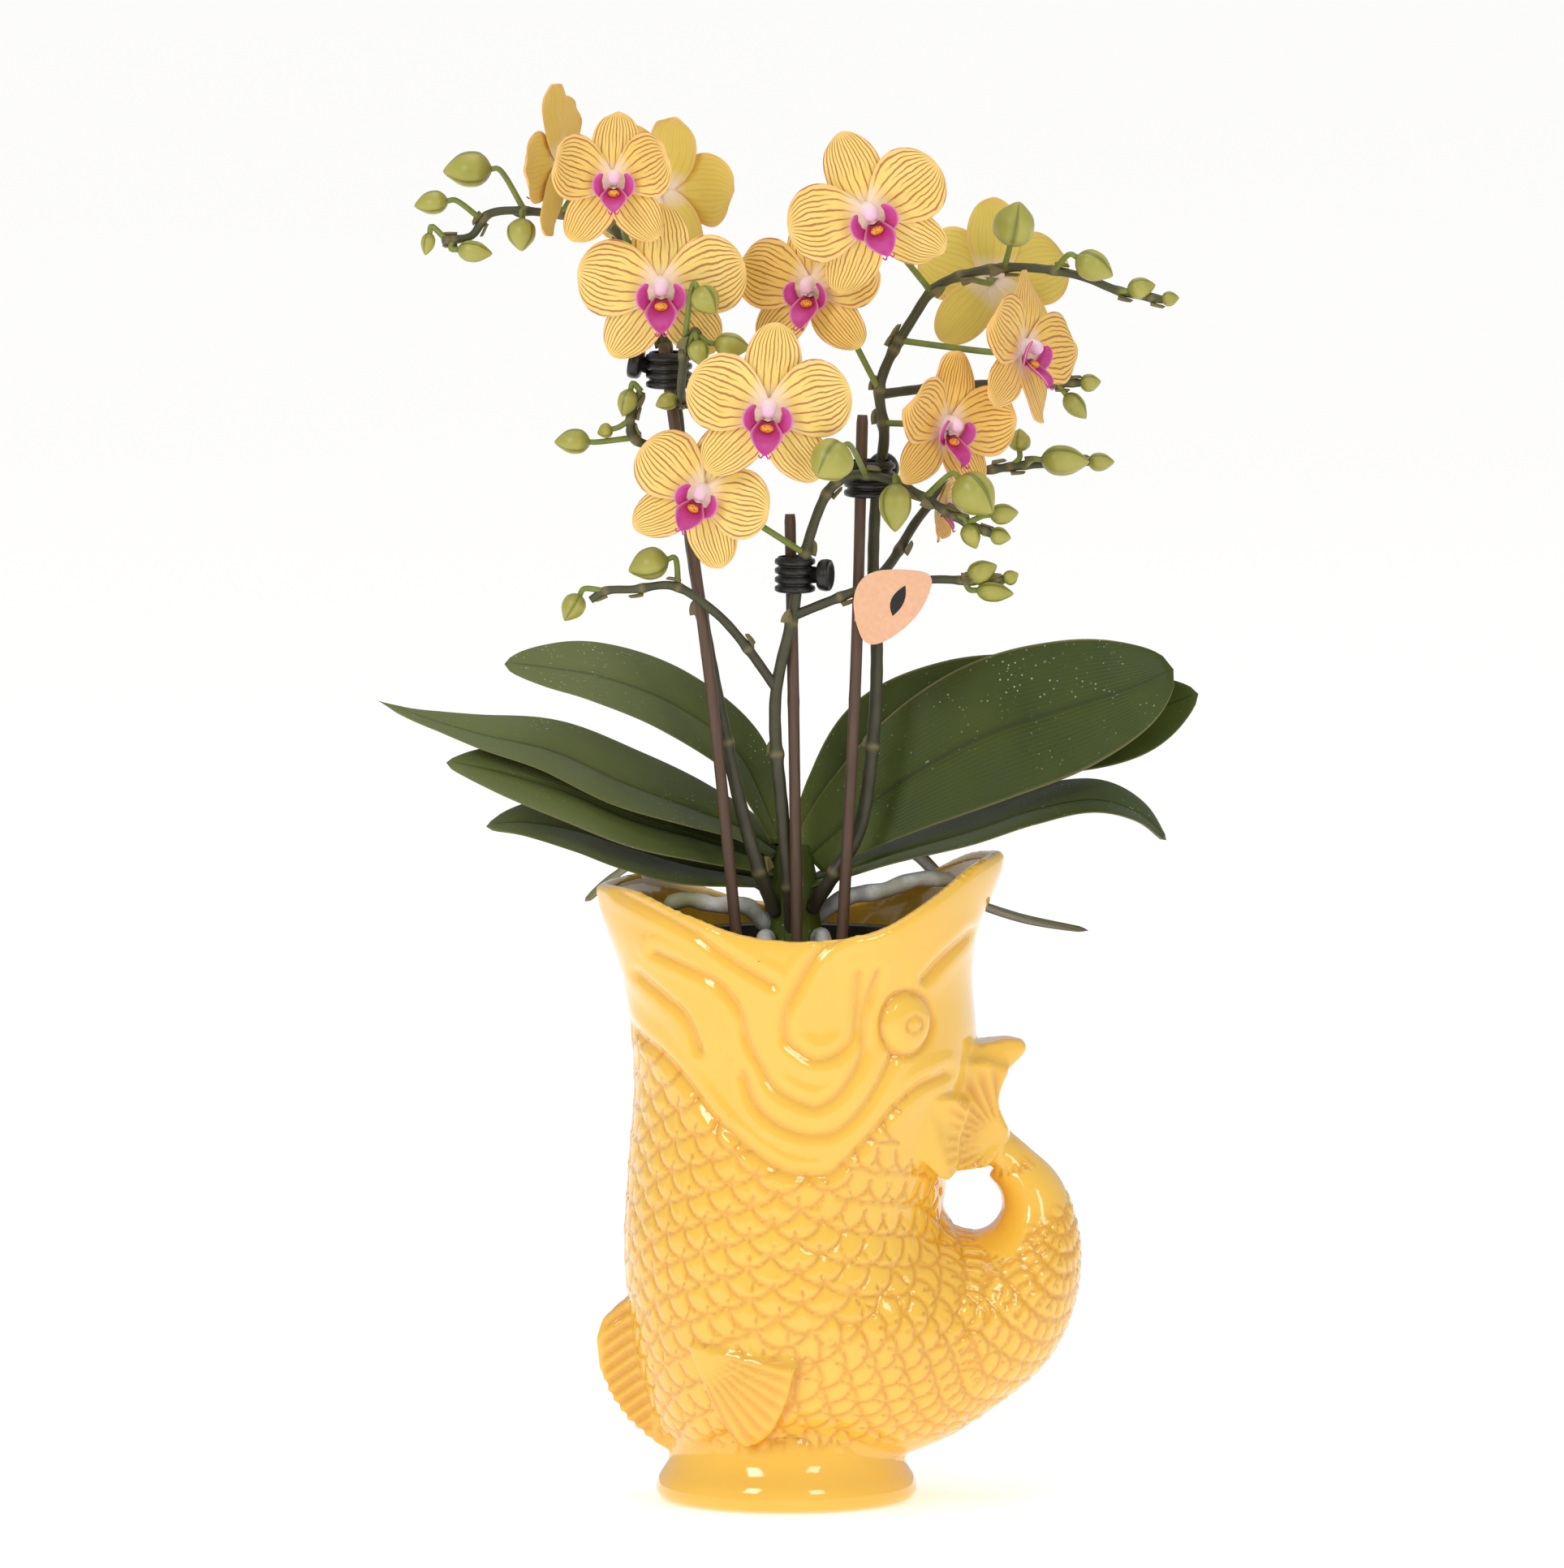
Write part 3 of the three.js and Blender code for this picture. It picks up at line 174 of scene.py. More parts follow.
def along(rows, x):
    """Value at x, or at each of an array, on a smooth line through the rows (x, value)."""
    xs, ys = np.array(rows, float).T
    slopes = np.gradient(ys, xs)
    x = np.clip(x, xs[0], xs[-1])
    i = np.clip(np.searchsorted(xs, x) - 1, 0, len(xs) - 2)
    step = xs[i + 1] - xs[i]
    t = (x - xs[i]) / step
    rise = (1 + 2 * t) * (1 - t) ** 2 * ys[i] + t * t * (3 - 2 * t) * ys[i + 1]
    return rise + t * (1 - t) ** 2 * step * slopes[i] - t * t * (1 - t) * step * slopes[i + 1]


def smooth(low, high, x):
    """0 below low, 1 above high, and a smooth ramp between."""
    t = np.clip((x - low) / (high - low), 0, 1)
    return t * t * (3 - 2 * t)


def body_ring(level, turns, inset=0.0, lift=0.0):
    """Points round the body at a level from 0, the finger hole's, to 1, the mouth's edge."""
    left = HOLE_X - HOLE_RADIUS - BODY_WIDTH + along(BELLY_SIDE, level) + inset
    right = HOLE_X - HOLE_RADIUS + along(TAIL_SIDE, level) - inset
    depth = (BODY_DEPTH + (MOUTH_DEPTH - BODY_DEPTH) * min(1, level * 1.1)) / 2 - inset
    pointed = smooth(0.8, 1.0, level)
    x = left + (right - left) * (1 + np.cos(turns)) / 2
    lens_shape = 1 - np.abs(np.cos(turns)) ** 3.2
    y = depth * np.sign(np.sin(turns)) * (np.abs(np.sin(turns)) * (1 - pointed) + lens_shape * pointed)
    z = HOLE_Z + (MOUTH_LOW + along(MOUTH_RISE, x) - HOLE_Z) * level + lift
    return np.stack([x, y, z], axis=-1)


def tail_ring(angle, turns, inset=0.0):
    """Points round the belly or tail, turned about the finger hole: 0 is towards +X and 90 is down."""
    near, far = HOLE_RADIUS + inset, along(TAIL_REACH, angle) - inset
    out = near + (far - near) * (1 - np.cos(turns)) / 2
    y = (along(TAIL_THICKNESS, angle) - inset) * np.sin(turns)
    slope = math.radians(angle)
    return np.stack([HOLE_X + out * math.cos(slope), y, HOLE_Z - out * math.sin(slope)], axis=-1)


def point_ring(ring):
    """The same ring drawn in to its middle, which closes an end."""
    return np.broadcast_to(ring.mean(axis=0), ring.shape)


def loft(bm, rings, slot=0, **fields):
    """Adds a closed skin through rings of points (row, around, xyz), with values kept at its points."""
    rings = np.asarray(rings, float)
    rows, around = rings.shape[:2]
    for name in fields:
        bm.verts.layers.float.get(name) or bm.verts.layers.float.new(name)
    verts = bmesh.ops.create_grid(bm, x_segments=around, y_segments=rows - 1, size=0.5)["verts"]
    spots = np.array([v.co for v in verts]) + 0.5
    column = np.rint(spots[:, 0] * around).astype(int) % around
    row = np.rint(spots[:, 1] * (rows - 1)).astype(int)
    for v, place in zip(verts, rings[row, column]):
        v.co = place
    for name, values in fields.items():
        layer = bm.verts.layers.float[name]
        values = np.broadcast_to(np.asarray(values, float), (rows, around))
        for v, value in zip(verts, values[row, column]):
            v[layer] = value
    bmesh.ops.remove_doubles(bm, verts=verts, dist=1e-4)
    faces = list({face for v in verts if v.is_valid for face in v.link_faces})
    bmesh.ops.recalc_face_normals(bm, faces=faces)
    for face in faces:
        face.material_index = slot
        face.smooth = True
    return [v for v in verts if v.is_valid]


def make_piece(name, bm, materials, slot, *nodes):
    """Makes a bmesh in millimetres into a piece in metres that stands for the given nodes."""
    bmesh.ops.scale(bm, vec=(MM, MM, MM), verts=bm.verts)
    mesh = bpy.data.meshes.new(name)
    bm.to_mesh(mesh)
    bm.free()
    for material in materials:
        mesh.materials.append(material)
    piece = bpy.data.objects.new(name, mesh)
    bpy.context.scene.collection.objects.link(piece)
    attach(piece, "root")
    if nodes:
        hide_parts(*nodes)
    return piece


def turned(bm, profile, segments, slot=0):
    """Adds a profile of (radius, height) turned about the upright axis."""
    line = [bm.verts.new((r, 0, z)) for r, z in profile]
    edges = [bm.edges.new(pair) for pair in zip(line, line[1:])]
    before = set(bm.faces)
    bmesh.ops.spin(bm, geom=line + edges, cent=(0, 0, 0), axis=(0, 0, 1), angle=2 * math.pi, steps=segments,
                   use_merge=True)
    faces = [face for face in bm.faces if face not in before]
    bmesh.ops.remove_doubles(bm, verts=list({v for face in faces for v in face.verts}), dist=1e-4)
    faces = [face for face in faces if face.is_valid]
    bmesh.ops.recalc_face_normals(bm, faces=faces)
    for face in faces:
        face.smooth = True
        face.material_index = slot
    return list({v for face in faces for v in face.verts})


def slab(bm, outline, half_thickness):
    """Closed slab over an outline of (x, z), reaching half_thickness(x, z) to each side of y = 0."""
    face = bm.faces.new([bm.verts.new((x, -1, z)) for x, z in outline])
    grown = bmesh.ops.extrude_face_region(bm, geom=[face])["geom"]
    far = [v for v in grown if isinstance(v, bmesh.types.BMVert)]
    bmesh.ops.translate(bm, vec=(0, 2, 0), verts=far)
    verts = list(face.verts) + far
    for v in verts:
        v.co.y *= half_thickness(v.co.x, v.co.z)
    bmesh.ops.recalc_face_normals(bm, faces=list({f for v in verts for f in v.link_faces}))


ring_turns = np.linspace(0, 2 * math.pi, 96, endpoint=False)
levels = np.linspace(0.99, 0, 40)
angles = np.linspace(176, -60, 60)
lip = WALL / 2
lip_turns = np.linspace(0, math.pi, 9)
pot_rings = []
for a in lip_turns[::-1]:
    pot_rings.append(body_ring(1, ring_turns, lip * (1 - math.cos(a)), lip * (math.sin(a) - 1)))
pot_rings += [body_ring(level, ring_turns) for level in levels]
pot_rings += [tail_ring(angle, ring_turns) for angle in angles]
lining = [body_ring(level, ring_turns, WALL) for level in levels]
lining += [tail_ring(angle, ring_turns, WALL) for angle in angles if angle > 60]
lining = [point_ring(lining[-1])] + lining[::-1]
pot_rings = lining + pot_rings + [point_ring(pot_rings[-1])]

bm = bmesh.new()
loft(bm, pot_rings)

foot_profile = [
    (0, 0), (32, 0), (35.2, 0.9), (36.4, 3.4), (35.8, 6.6), (33.6, 10), (32.2, 13), (31.6, 20), (0, 20),
]
turned(bm, foot_profile, 72)

TAIL_ROOT = Vector((60.0, 102.0))


def fan_depth(x, z, start, end):
    """Half thickness of the tail fin, growing away from where the tail meets it."""
    away = (TAIL_ROOT - Vector((x, z))).length
    return start + (end - start) * min(1.0, away / 24)


# The tail fin in three parts, and the belly fin, each an outline of (x, z).
fan = [
    (56, 94), (62, 103), (59.5, 108), (58.5, 112), (59.5, 116), (62, 121), (55, 124), (42, 122), (33, 108),
    (40, 98), (47, 93),
]
slab(bm, fan, lambda x, z: min(fan_depth(x, z, 9, 19), 5 + 0.8 * max(0.0, 66 - x)))
upper_lobe = [
    (60, 119.5), (64.5, 123), (66.8, 126), (65.5, 128.2), (61, 129), (53, 127.6), (44, 127), (38, 115),
    (46, 113.5), (53, 114),
]
slab(bm, upper_lobe, lambda x, z: 3.0 + 0.6 * max(0.0, 66 - x))
lower_lobe = [
    (47, 115), (38, 114.4), (31, 109), (35, 101), (42.5, 92.5), (45.4, 92), (47.4, 95), (48, 103),
    (51, 112),
]
slab(bm, lower_lobe, lambda x, z: fan_depth(x, z, 12, 32))
belly_fin = [
    (-40, 58), (-44.5, 57), (-47.8, 54.6), (-51.1, 50), (-52.6, 45), (-51.8, 37), (-48.8, 29), (-44, 22.3),
    (-38, 17), (-31, 13.5), (-26, 24), (-36, 45),
]
slab(bm, belly_fin, lambda x, z: 3.4 if x < -36 else 6.0)

pot_mesh = bpy.data.meshes.new("fish_pot_glazed")
bm.to_mesh(pot_mesh)
bm.free()


def reworked(mesh, kind, **settings):
    """The mesh as one modifier leaves it."""
    clay = bpy.data.objects.new("clay", mesh)
    bpy.context.scene.collection.objects.link(clay)
    tool = clay.modifiers.new("tool", kind)
    for key, value in settings.items():
        setattr(tool, key, value)
    finished = bpy.data.meshes.new_from_object(clay.evaluated_get(bpy.context.evaluated_depsgraph_get()))
    bpy.data.objects.remove(clay)
    return finished


fused = reworked(pot_mesh, "REMESH", mode="VOXEL", voxel_size=POT_VOXEL)

# The relief: head grooves, eyes, fin rays and scales, each pressed into the fused form along its normals.
HEAD_GROOVES = [
    [
        (17, 164), (9, 158), (4, 150), (0, 142), (0, 134), (4, 130), (8, 128), (13, 129), (17, 132),
        (19, 137), (20, 152),
    ],
    [(-46, 171), (-40, 169), (-28, 164), (-19, 158), (-11, 153), (-4, 149)],
    [
        (-36, 156), (-28, 153), (-19, 149), (-13, 142), (-11, 134), (-7, 126), (-3, 120), (4, 116), (9, 115),
        (14, 118), (18, 123), (21, 130), (21, 140), (25, 152),
    ],
    [(-41, 149), (-34, 144), (-28, 139), (-24, 130)],
    [
        (-12, 124), (-9, 116), (-4, 111), (2, 108), (8, 107), (14, 108), (20, 113), (25, 120), (29, 128),
        (32, 136),
    ],
    [(38, 149), (43, 154), (51, 160)],
]
GILL = [
    (-44, 134), (-40, 131), (-34, 127), (-28, 121), (-24, 116), (-20, 111), (-15, 107), (-9, 102), (-1, 97),
    (5, 96), (12, 96), (18, 101), (24, 107), (29, 113), (36, 119), (44, 122),
]
EYE_X, EYE_Z, EYE_HALF_WIDTH, EYE_HALF_HEIGHT, EYE_RISE = 33.0, 137.0, 6.5, 8.2, 2.4
SCALE_STEP = 8.7
GROOVE_DEPTH = 0.62


def distance_to_line(x, z, line):
    """How far each point (x, z) is from a line of points."""
    best = np.full(x.shape, 1e9)
    for (ax, az), (bx, bz) in zip(line, line[1:]):
        dx, dz = bx - ax, bz - az
        t = np.clip(((x - ax) * dx + (z - az) * dz) / (dx * dx + dz * dz), 0, 1)
        best = np.minimum(best, np.hypot(x - ax - t * dx, z - az - t * dz))
    return best


def inside(x, z, outline):
    """Whether each point (x, z) is inside a closed outline."""
    hits = np.zeros(x.shape, bool)
    for (ax, az), (bx, bz) in zip(outline, outline[1:] + outline[:1]):
        crosses = (az > z) != (bz > z)
        hits ^= crosses & (x < ax + (z - az) * (bx - ax) / (bz - az + 1e-9))
    return hits


def rounded_line(points, steps=6):
    """The points joined by a smooth line."""
    rows = np.array(points, float)
    count = np.arange(len(rows))
    fine = np.linspace(0, len(rows) - 1, steps * (len(rows) - 1) + 1)
    return list(zip(*(along(list(zip(count, rows[:, k])), fine) for k in range(rows.shape[1]))))


def scale_bed():
    """Middle, downstream direction, half width and free length of every scale, from gill to tail."""
    rows = [("body", level) for level in np.linspace(0.9, 0, 90)]
    rows += [("tail", angle) for angle in np.linspace(178, -52, 230)]
    found = []
    bands = [(0, 176, 21), (176, 258, 15), (258, 330, 9)]
    for first, last, columns in bands:
        for k in range(columns + 1):
            turn = math.pi * (1 - k / columns)
            turns = np.array([turn, turn + math.pi / columns])
            line, beside = [], []
            for kind, value in rows[first : last + 1]:
                ring = body_ring(value, turns) if kind == "body" else tail_ring(value, turns)
                line.append(ring[0])
                beside.append(np.linalg.norm(ring[1] - ring[0]))
            line = np.array(line)
            run = np.concatenate([[0], np.cumsum(np.linalg.norm(np.diff(line, axis=0), axis=1))])
            half = beside[0]
            step = min(SCALE_STEP, 1.42 * half)
            reached = 0.0 if k % 2 else 0.5 * step
            while reached < run[-1]:
                spot = np.array([np.interp(reached, run, line[:, i]) for i in range(3)])
                ahead = np.array([np.interp(reached + 1.5, run, line[:, i]) for i in range(3)])
                flow = ahead - spot
                if np.linalg.norm(flow) > 0.2 and spot[2] < along(GILL, spot[0]) + 3:
                    found.append((spot, flow / np.linalg.norm(flow), half, step))
                    if 0 < k < columns:
                        flip = np.array([1, -1, 1])
                        found.append((spot * flip, flow * flip / np.linalg.norm(flow), half, step))
                reached += step
                half = np.interp(reached, run, beside)
                step = 0.6 * step + 0.4 * min(SCALE_STEP, 1.42 * half)
    return found


def scale_relief(place, normal):
    """Height of the scales over the smooth body, and how deep each point lies in a groove."""
    bed = scale_bed()
    tree = KDTree(len(bed))
    for i, (spot, *_) in enumerate(bed):
        tree.insert(spot, i)
    tree.balance()
    near = np.array([[hit[1] for hit in tree.find_n(p, 14)] for p in place])
    spots, flows, halves, steps = (np.array([row[i] for row in bed], float)[near] for i in range(4))
    offset = place[:, None, :] - spots
    flows = flows - normal[:, None, :] * np.sum(flows * normal[:, None, :], axis=2, keepdims=True)
    flows /= np.linalg.norm(flows, axis=2, keepdims=True) + 1e-9
    across = np.cross(normal[:, None, :], flows)
    a = np.sum(offset * across, axis=2) / (halves * 1.02)
    length = steps * 0.74
    b = np.sum(offset * flows, axis=2) / length
    rim = np.sqrt(a * a + np.maximum(b, 0) ** 2)
    edge = (1 - rim) * np.minimum(halves, length)
    covers = (rim < 1) & (b > -1.5) & (np.linalg.norm(offset, axis=2) < 14)
    rank = np.where(covers, b, -9)
    top = np.argmax(rank, axis=1)
    pick = np.arange(len(place))
    hidden = np.maximum(0.1 - b[pick, top], 0) * length[pick, top]
    own_edge = np.where(covers.any(axis=1), edge[pick, top] + hidden, 3.0)
    upstream = (~covers) & (b > 0.02) & (b < 1.5)
    gap = np.where(upstream, -edge, 9.0).min(axis=1)
    line = np.minimum(np.abs(own_edge), gap)
    tilt = np.where(covers.any(axis=1), np.clip(b[pick, top], -0.6, 1), 0)
    groove = np.exp(-((line / 0.6) ** 2))
    return 0.34 * tilt - GROOVE_DEPTH * groove, groove


def press_relief(mesh):
    """Moves the fused form's points along their normals and keeps where the glaze pools."""
    count = len(mesh.vertices)
    place, normal = np.zeros(count * 3), np.zeros(count * 3)
    mesh.vertices.foreach_get("co", place)
    mesh.vertices.foreach_get("normal", normal)
    place, normal = place.reshape(-1, 3), normal.reshape(-1, 3)
    x, y, z = place.T
    ring_y = np.abs(y)
    side = smooth(0.05, 0.35, np.abs(normal[:, 1])) * (normal[:, 1] * y > 0)
    lined = (z > 60) & (ring_y < 60) & (normal[:, 1] * y + normal[:, 0] * x < -0.5)
    skin_side = np.where(lined, 0.0, 1.0)

    in_fan = inside(x, z, [(69, 94), (62, 131), (45, 131), (28, 108), (43, 88), (57, 90)]) & (ring_y > 6)
    in_fan &= ring_y > 30 * np.sqrt(np.clip(1 - ((x + 0.5) / 44) ** 2, 0, 1))
    from_root = np.hypot(x - 60, z - 101)
    bearing = np.degrees(np.arctan2(z - 101, 60 - x))
    ray = 0.5 + 0.5 * np.cos(np.radians(bearing) * 30)
    rays = np.where(in_fan, smooth(5, 10, from_root) * (1 - smooth(17, 23, from_root)), 0)
    rays *= smooth(0.35, 0.7, np.abs(normal[:, 1])) * smooth(43, 49, x)

    in_belly_fin = (x < -35.5) & (z < 59) & (z > 12) & (ring_y < 9)
    in_belly_fin &= inside(x, z, [(-60, 10), (-30, 10), (-38, 34), (-40, 60), (-60, 62)])
    slant = (z - 0.75 * x) / 4.1
    belly_rays = np.where(in_belly_fin, 0.5 + 0.5 * np.cos(2 * math.pi * slant), 0)
    belly_rays *= smooth(-52.2, -49, x) * smooth(-35, -39, x)

    fin_apex = np.array([-27.0, 48.0])
    reach = np.hypot(x - fin_apex[0], z - fin_apex[1])
    fin_bearing = np.degrees(np.arctan2(fin_apex[1] - z, x - fin_apex[0]))
    fin_end = along([(8, 31), (13, 30.5), (30, 31.5), (50, 33), (60, 31.5), (66, 23)], fin_bearing)
    in_side_fin = smooth(6, 11, fin_bearing) * smooth(70, 63, fin_bearing) * side
    in_side_fin *= smooth(0.0, 1.6, fin_end - reach) * (z > 12)
    fin_lift = in_side_fin * (0.8 + 3.4 * np.clip(reach / 32, 0, 1) ** 1.3)
    fin_rays = in_side_fin * (0.5 + 0.5 * np.cos(np.radians(fin_bearing - 9) * 360 / 7.6))
    fin_rays *= smooth(8, 15, reach) * smooth(0, 4, fin_end - reach)
    fin_edge = np.exp(-(((reach - fin_end - 0.6) / 1.2) ** 2)) * side
    fin_edge *= smooth(4, 9, fin_bearing) * smooth(72, 66, fin_bearing)

    head = smooth(-1.5, 1.5, z - along(GILL, np.clip(x, -44, 44)))
    scaled = (1 - head) * smooth(16, 21, z) * (1 - smooth(0, 1, fin_lift)) * skin_side
    scaled = scaled * np.where(in_fan | in_belly_fin, 0, 1)
    scaled *= smooth(24, 30, np.hypot(x - 58, z - 104) + np.where(x < 44, 20, 0))
    scale_height, scale_groove = scale_relief(place, normal)

    grooves = np.zeros(count)
    lips = np.zeros(count)
    for line in HEAD_GROOVES + [GILL]:
        reach_line = distance_to_line(x, z, rounded_line(line))
        grooves = np.maximum(grooves, np.exp(-((reach_line / 1.35) ** 2)))
        lips = np.maximum(lips, np.exp(-(((reach_line - 3.2) / 2.2) ** 2)))
    on_head = side * skin_side * smooth(88, 92, z) * smooth(179, 168, z)
    grooves, lips = grooves * on_head, lips * on_head

    ex, ez = (x - EYE_X) / EYE_HALF_WIDTH, (z - EYE_Z) / EYE_HALF_HEIGHT
    ring = np.hypot(ex, ez)
    dome = EYE_RISE * np.sqrt(np.clip(1 - ring**2, 0, 1)) * side * skin_side
    socket = np.exp(-(((ring - 1.1) / 0.11) ** 2)) * side * skin_side
    pupil = np.hypot(x - EYE_X - 1.2, z - EYE_Z + 0.3)
    pupil_ring = np.exp(-(((pupil - 2.2) / 0.45) ** 2)) * side * skin_side

    height = scaled * scale_height + fin_lift + dome
    height += -0.95 * grooves * (ring > 1.1) + 0.55 * lips * (ring > 1.1) - 0.8 * socket - 0.5 * pupil_ring
    height += -0.8 * rays * ray - 0.8 * belly_rays - 0.75 * fin_rays - 0.5 * fin_edge
    pooled = scaled * scale_groove + 0.6 * grooves**2 * (ring > 1.1) + 0.8 * socket + 0.8 * pupil_ring
    pooled += rays * ray + belly_rays + 0.9 * fin_rays + fin_edge
    place += normal * height[:, None]
    mesh.vertices.foreach_set("co", place.ravel())
    pool_layer = mesh.attributes.new("pooled", "FLOAT", "POINT")
    pool_layer.data.foreach_set("value", np.clip(pooled, 0, 1).astype(np.float32))


bm = bmesh.new()
bm.from_mesh(fused)
for _ in range(3):
    bmesh.ops.smooth_vert(bm, verts=bm.verts, factor=0.5, use_axis_x=True, use_axis_y=True, use_axis_z=True)
bm.to_mesh(fused)
bm.free()
press_relief(fused)
fused = reworked(fused, "DECIMATE", ratio=KEPT_SHARE)


def object_place(tree):
    """Places on a piece, measured from the object's middle."""
    return add_node(tree, "ShaderNodeTexCoord").outputs["Object"]


def kept(tree, name):
    """A value that is kept at a mesh's points."""
    return add_node(tree, "ShaderNodeAttribute", attribute_name=name).outputs["Fac"]


def noise(tree, place, scale, detail, roughness=0.5):
    """Soft uneven patches over a place."""
    values = {"Vector": place, "Scale": scale, "Detail": detail, "Roughness": roughness}
    return add_node(tree, "ShaderNodeTexNoise", values).outputs["Fac"]


def ramp(tree, value, low, high, start=0.0, end=1.0):
    """A value carried from the range low to high into the range start to end."""
    values = {"Value": value, 1: low, 2: high, 3: start, 4: end}
    return add_node(tree, "ShaderNodeMapRange", values).outputs["Result"]


surface_grain = bpy.data.node_groups.new("surface_grain", "ShaderNodeTree")
surface_grain.interface.new_socket("Place", in_out="INPUT", socket_type="NodeSocketVector")
for name in ("Scale", "Detail", "Roughness", "Strength", "Distance"):
    surface_grain.interface.new_socket(name, in_out="INPUT", socket_type="NodeSocketFloat")
surface_grain.interface.new_socket("Value", in_out="OUTPUT", socket_type="NodeSocketFloat")
surface_grain.interface.new_socket("Normal", in_out="OUTPUT", socket_type="NodeSocketVector")
given = add_node(surface_grain, "NodeGroupInput").outputs
patches = noise(surface_grain, given["Place"], given["Scale"], given["Detail"], given["Roughness"])
raise_by = {"Height": patches, "Strength": given["Strength"], "Distance": given["Distance"]}
bumped = add_node(surface_grain, "ShaderNodeBump", raise_by).outputs["Normal"]
add_node(surface_grain, "NodeGroupOutput", {"Value": patches, "Normal": bumped})


def add_grain(tree, shader, place, scale, detail, strength, distance, roughness=0.5):
    """Roughens a material with the surface grain, and gives the grain's value."""
    values = {
        "Place": place, "Scale": scale, "Detail": detail, "Roughness": roughness, "Strength": strength,
        "Distance": distance,
    }
    grain = add_node(tree, "ShaderNodeGroup", values, node_tree=surface_grain)
    tree.links.new(grain.outputs["Normal"], shader.inputs["Normal"])
    return grain.outputs["Value"]


glaze, tree, shader = new_material("yellow_glaze")
place = object_place(tree)
thin = blend(tree, noise(tree, place, 28.0, 3.0), "f4ba39", "f9cb54")
tree.links.new(blend(tree, kept(tree, "pooled"), thin, "e7a533"), shader.inputs["Base Color"])
add_grain(tree, shader, place, 220.0, 2.0, 0.08, 0.0006)
shader.inputs["Roughness"].default_value = 0.1
shader.inputs["Coat Weight"].default_value = 0.6
shader.inputs["Coat Roughness"].default_value = 0.03

bm = bmesh.new()
bm.from_mesh(fused)
for face in bm.faces:
    face.smooth = True
make_piece("fish_pot_glazed", bm, [glaze], "glazed_ceramic", "fish_pot")


# ---- grower's pot ----
# Thin black moulded plastic, scuffed and with a rolled lip. It hangs just below the ceramic rim and holds
# the bark and the whole plant.
BARK_TOP = (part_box("bark_mix")[1].z / MM) - 1.0
nursery_low, nursery_high = (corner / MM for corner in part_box("nursery_pot"))
NURSERY_X = (nursery_low.x + nursery_high.x) / 2
nursery_radius = (nursery_high.x - nursery_low.x) / 2
NURSERY_WALL = 1.0
NURSERY_LIP = 2.5
NURSERY_LIP_HEIGHT = 4.0
NURSERY_TAPER = 0.13

plastic, tree, shader = new_material("black_plastic")
scuffs = add_grain(tree, shader, object_place(tree), 260.0, 5.0, 0.2, 0.0004)
tree.links.new(ramp(tree, scuffs, 0.4, 0.75, 0.28, 0.5), shader.inputs["Roughness"])
tree.links.new(blend(tree, scuffs, "0d0d0c", "232220"), shader.inputs["Base Color"])

bm = bmesh.new()
top, low = nursery_high.z, nursery_low.z
lip_foot = top - NURSERY_LIP_HEIGHT
body_radius = nursery_radius - NURSERY_LIP
foot_radius = body_radius - (top - low) * NURSERY_TAPER
verts = turned(bm, [
    (0, low), (foot_radius - 1, low), (foot_radius, low + 1), (body_radius, lip_foot - 0.6),
    (body_radius + 0.3, lip_foot), (nursery_radius - 0.4, lip_foot), (nursery_radius, lip_foot + 0.5),
    (nursery_radius, top - 0.5), (nursery_radius - 0.5, top), (body_radius - 0.4, top),
    (body_radius - NURSERY_WALL, top - 0.6), (foot_radius - NURSERY_WALL, low + 1.6), (0, low + NURSERY_WALL),
], 96)
bmesh.ops.translate(bm, vec=(NURSERY_X, 0, 0), verts=verts)
make_piece("nursery_pot_rim", bm, [plastic], "nursery_plastic", "nursery_pot")


# ---- bark ----
# Chips of pine bark, split flat and rough on every side. They lie loosely over one another round the roots,
# a little under the rim.
CHIPS = 190
BED_RADIUS = body_radius - 1.8
chance = np.random.default_rng(7)

bark, tree, shader = new_material("pine_bark")
place = object_place(tree)
flakes = add_grain(tree, shader, place, 330.0, 8.0, 0.9, 0.0012, 0.7)
patches = add_node(tree, "ShaderNodeTexVoronoi", {"Vector": place, "Scale": 160.0}).outputs["Color"]
lit = blend(tree, ramp(tree, flakes, 0.35, 0.7), "1d120b", "6b4329")
tree.links.new(blend(tree, patches, lit, "37241a"), shader.inputs["Base Color"])
shader.inputs["Roughness"].default_value = 0.92

bm = bmesh.new()
verts = turned(bm, [
    (0, low + 2.4), (foot_radius - 2, low + 2.4), (BED_RADIUS, BARK_TOP - 2.2),
    (BED_RADIUS * 0.9, BARK_TOP - 1.2), (BED_RADIUS * 0.5, BARK_TOP - 0.6), (0, BARK_TOP - 0.4),
], 48)
for k in range(CHIPS):
    reach = BED_RADIUS * 0.95 * math.sqrt(chance.random())
    turn = chance.random() * 2 * math.pi
    chip = bmesh.ops.create_icosphere(bm, subdivisions=2, radius=1.0)["verts"]
    for v in chip:
        v.co += Vector(chance.normal(0, 0.13, 3))
    size = chance.uniform(2.0, 4.6)
    bmesh.ops.scale(bm, vec=(size, size * chance.uniform(0.45, 0.8), size * 0.36), verts=chip)
    tumble = Matrix.Rotation(turn * 3, 3, "Z") @ Matrix.Rotation(chance.normal(0, 0.4), 3, "X")
    bmesh.ops.rotate(bm, cent=(0, 0, 0), matrix=tumble, verts=chip)
    bmesh.ops.translate(bm, vec=(reach * math.cos(turn), reach * math.sin(turn), BARK_TOP - 0.9), verts=chip)
bmesh.ops.translate(bm, vec=(NURSERY_X, 0, 0), verts=bm.verts)
make_piece("bark_chips", bm, [bark], "bark", "bark_mix")


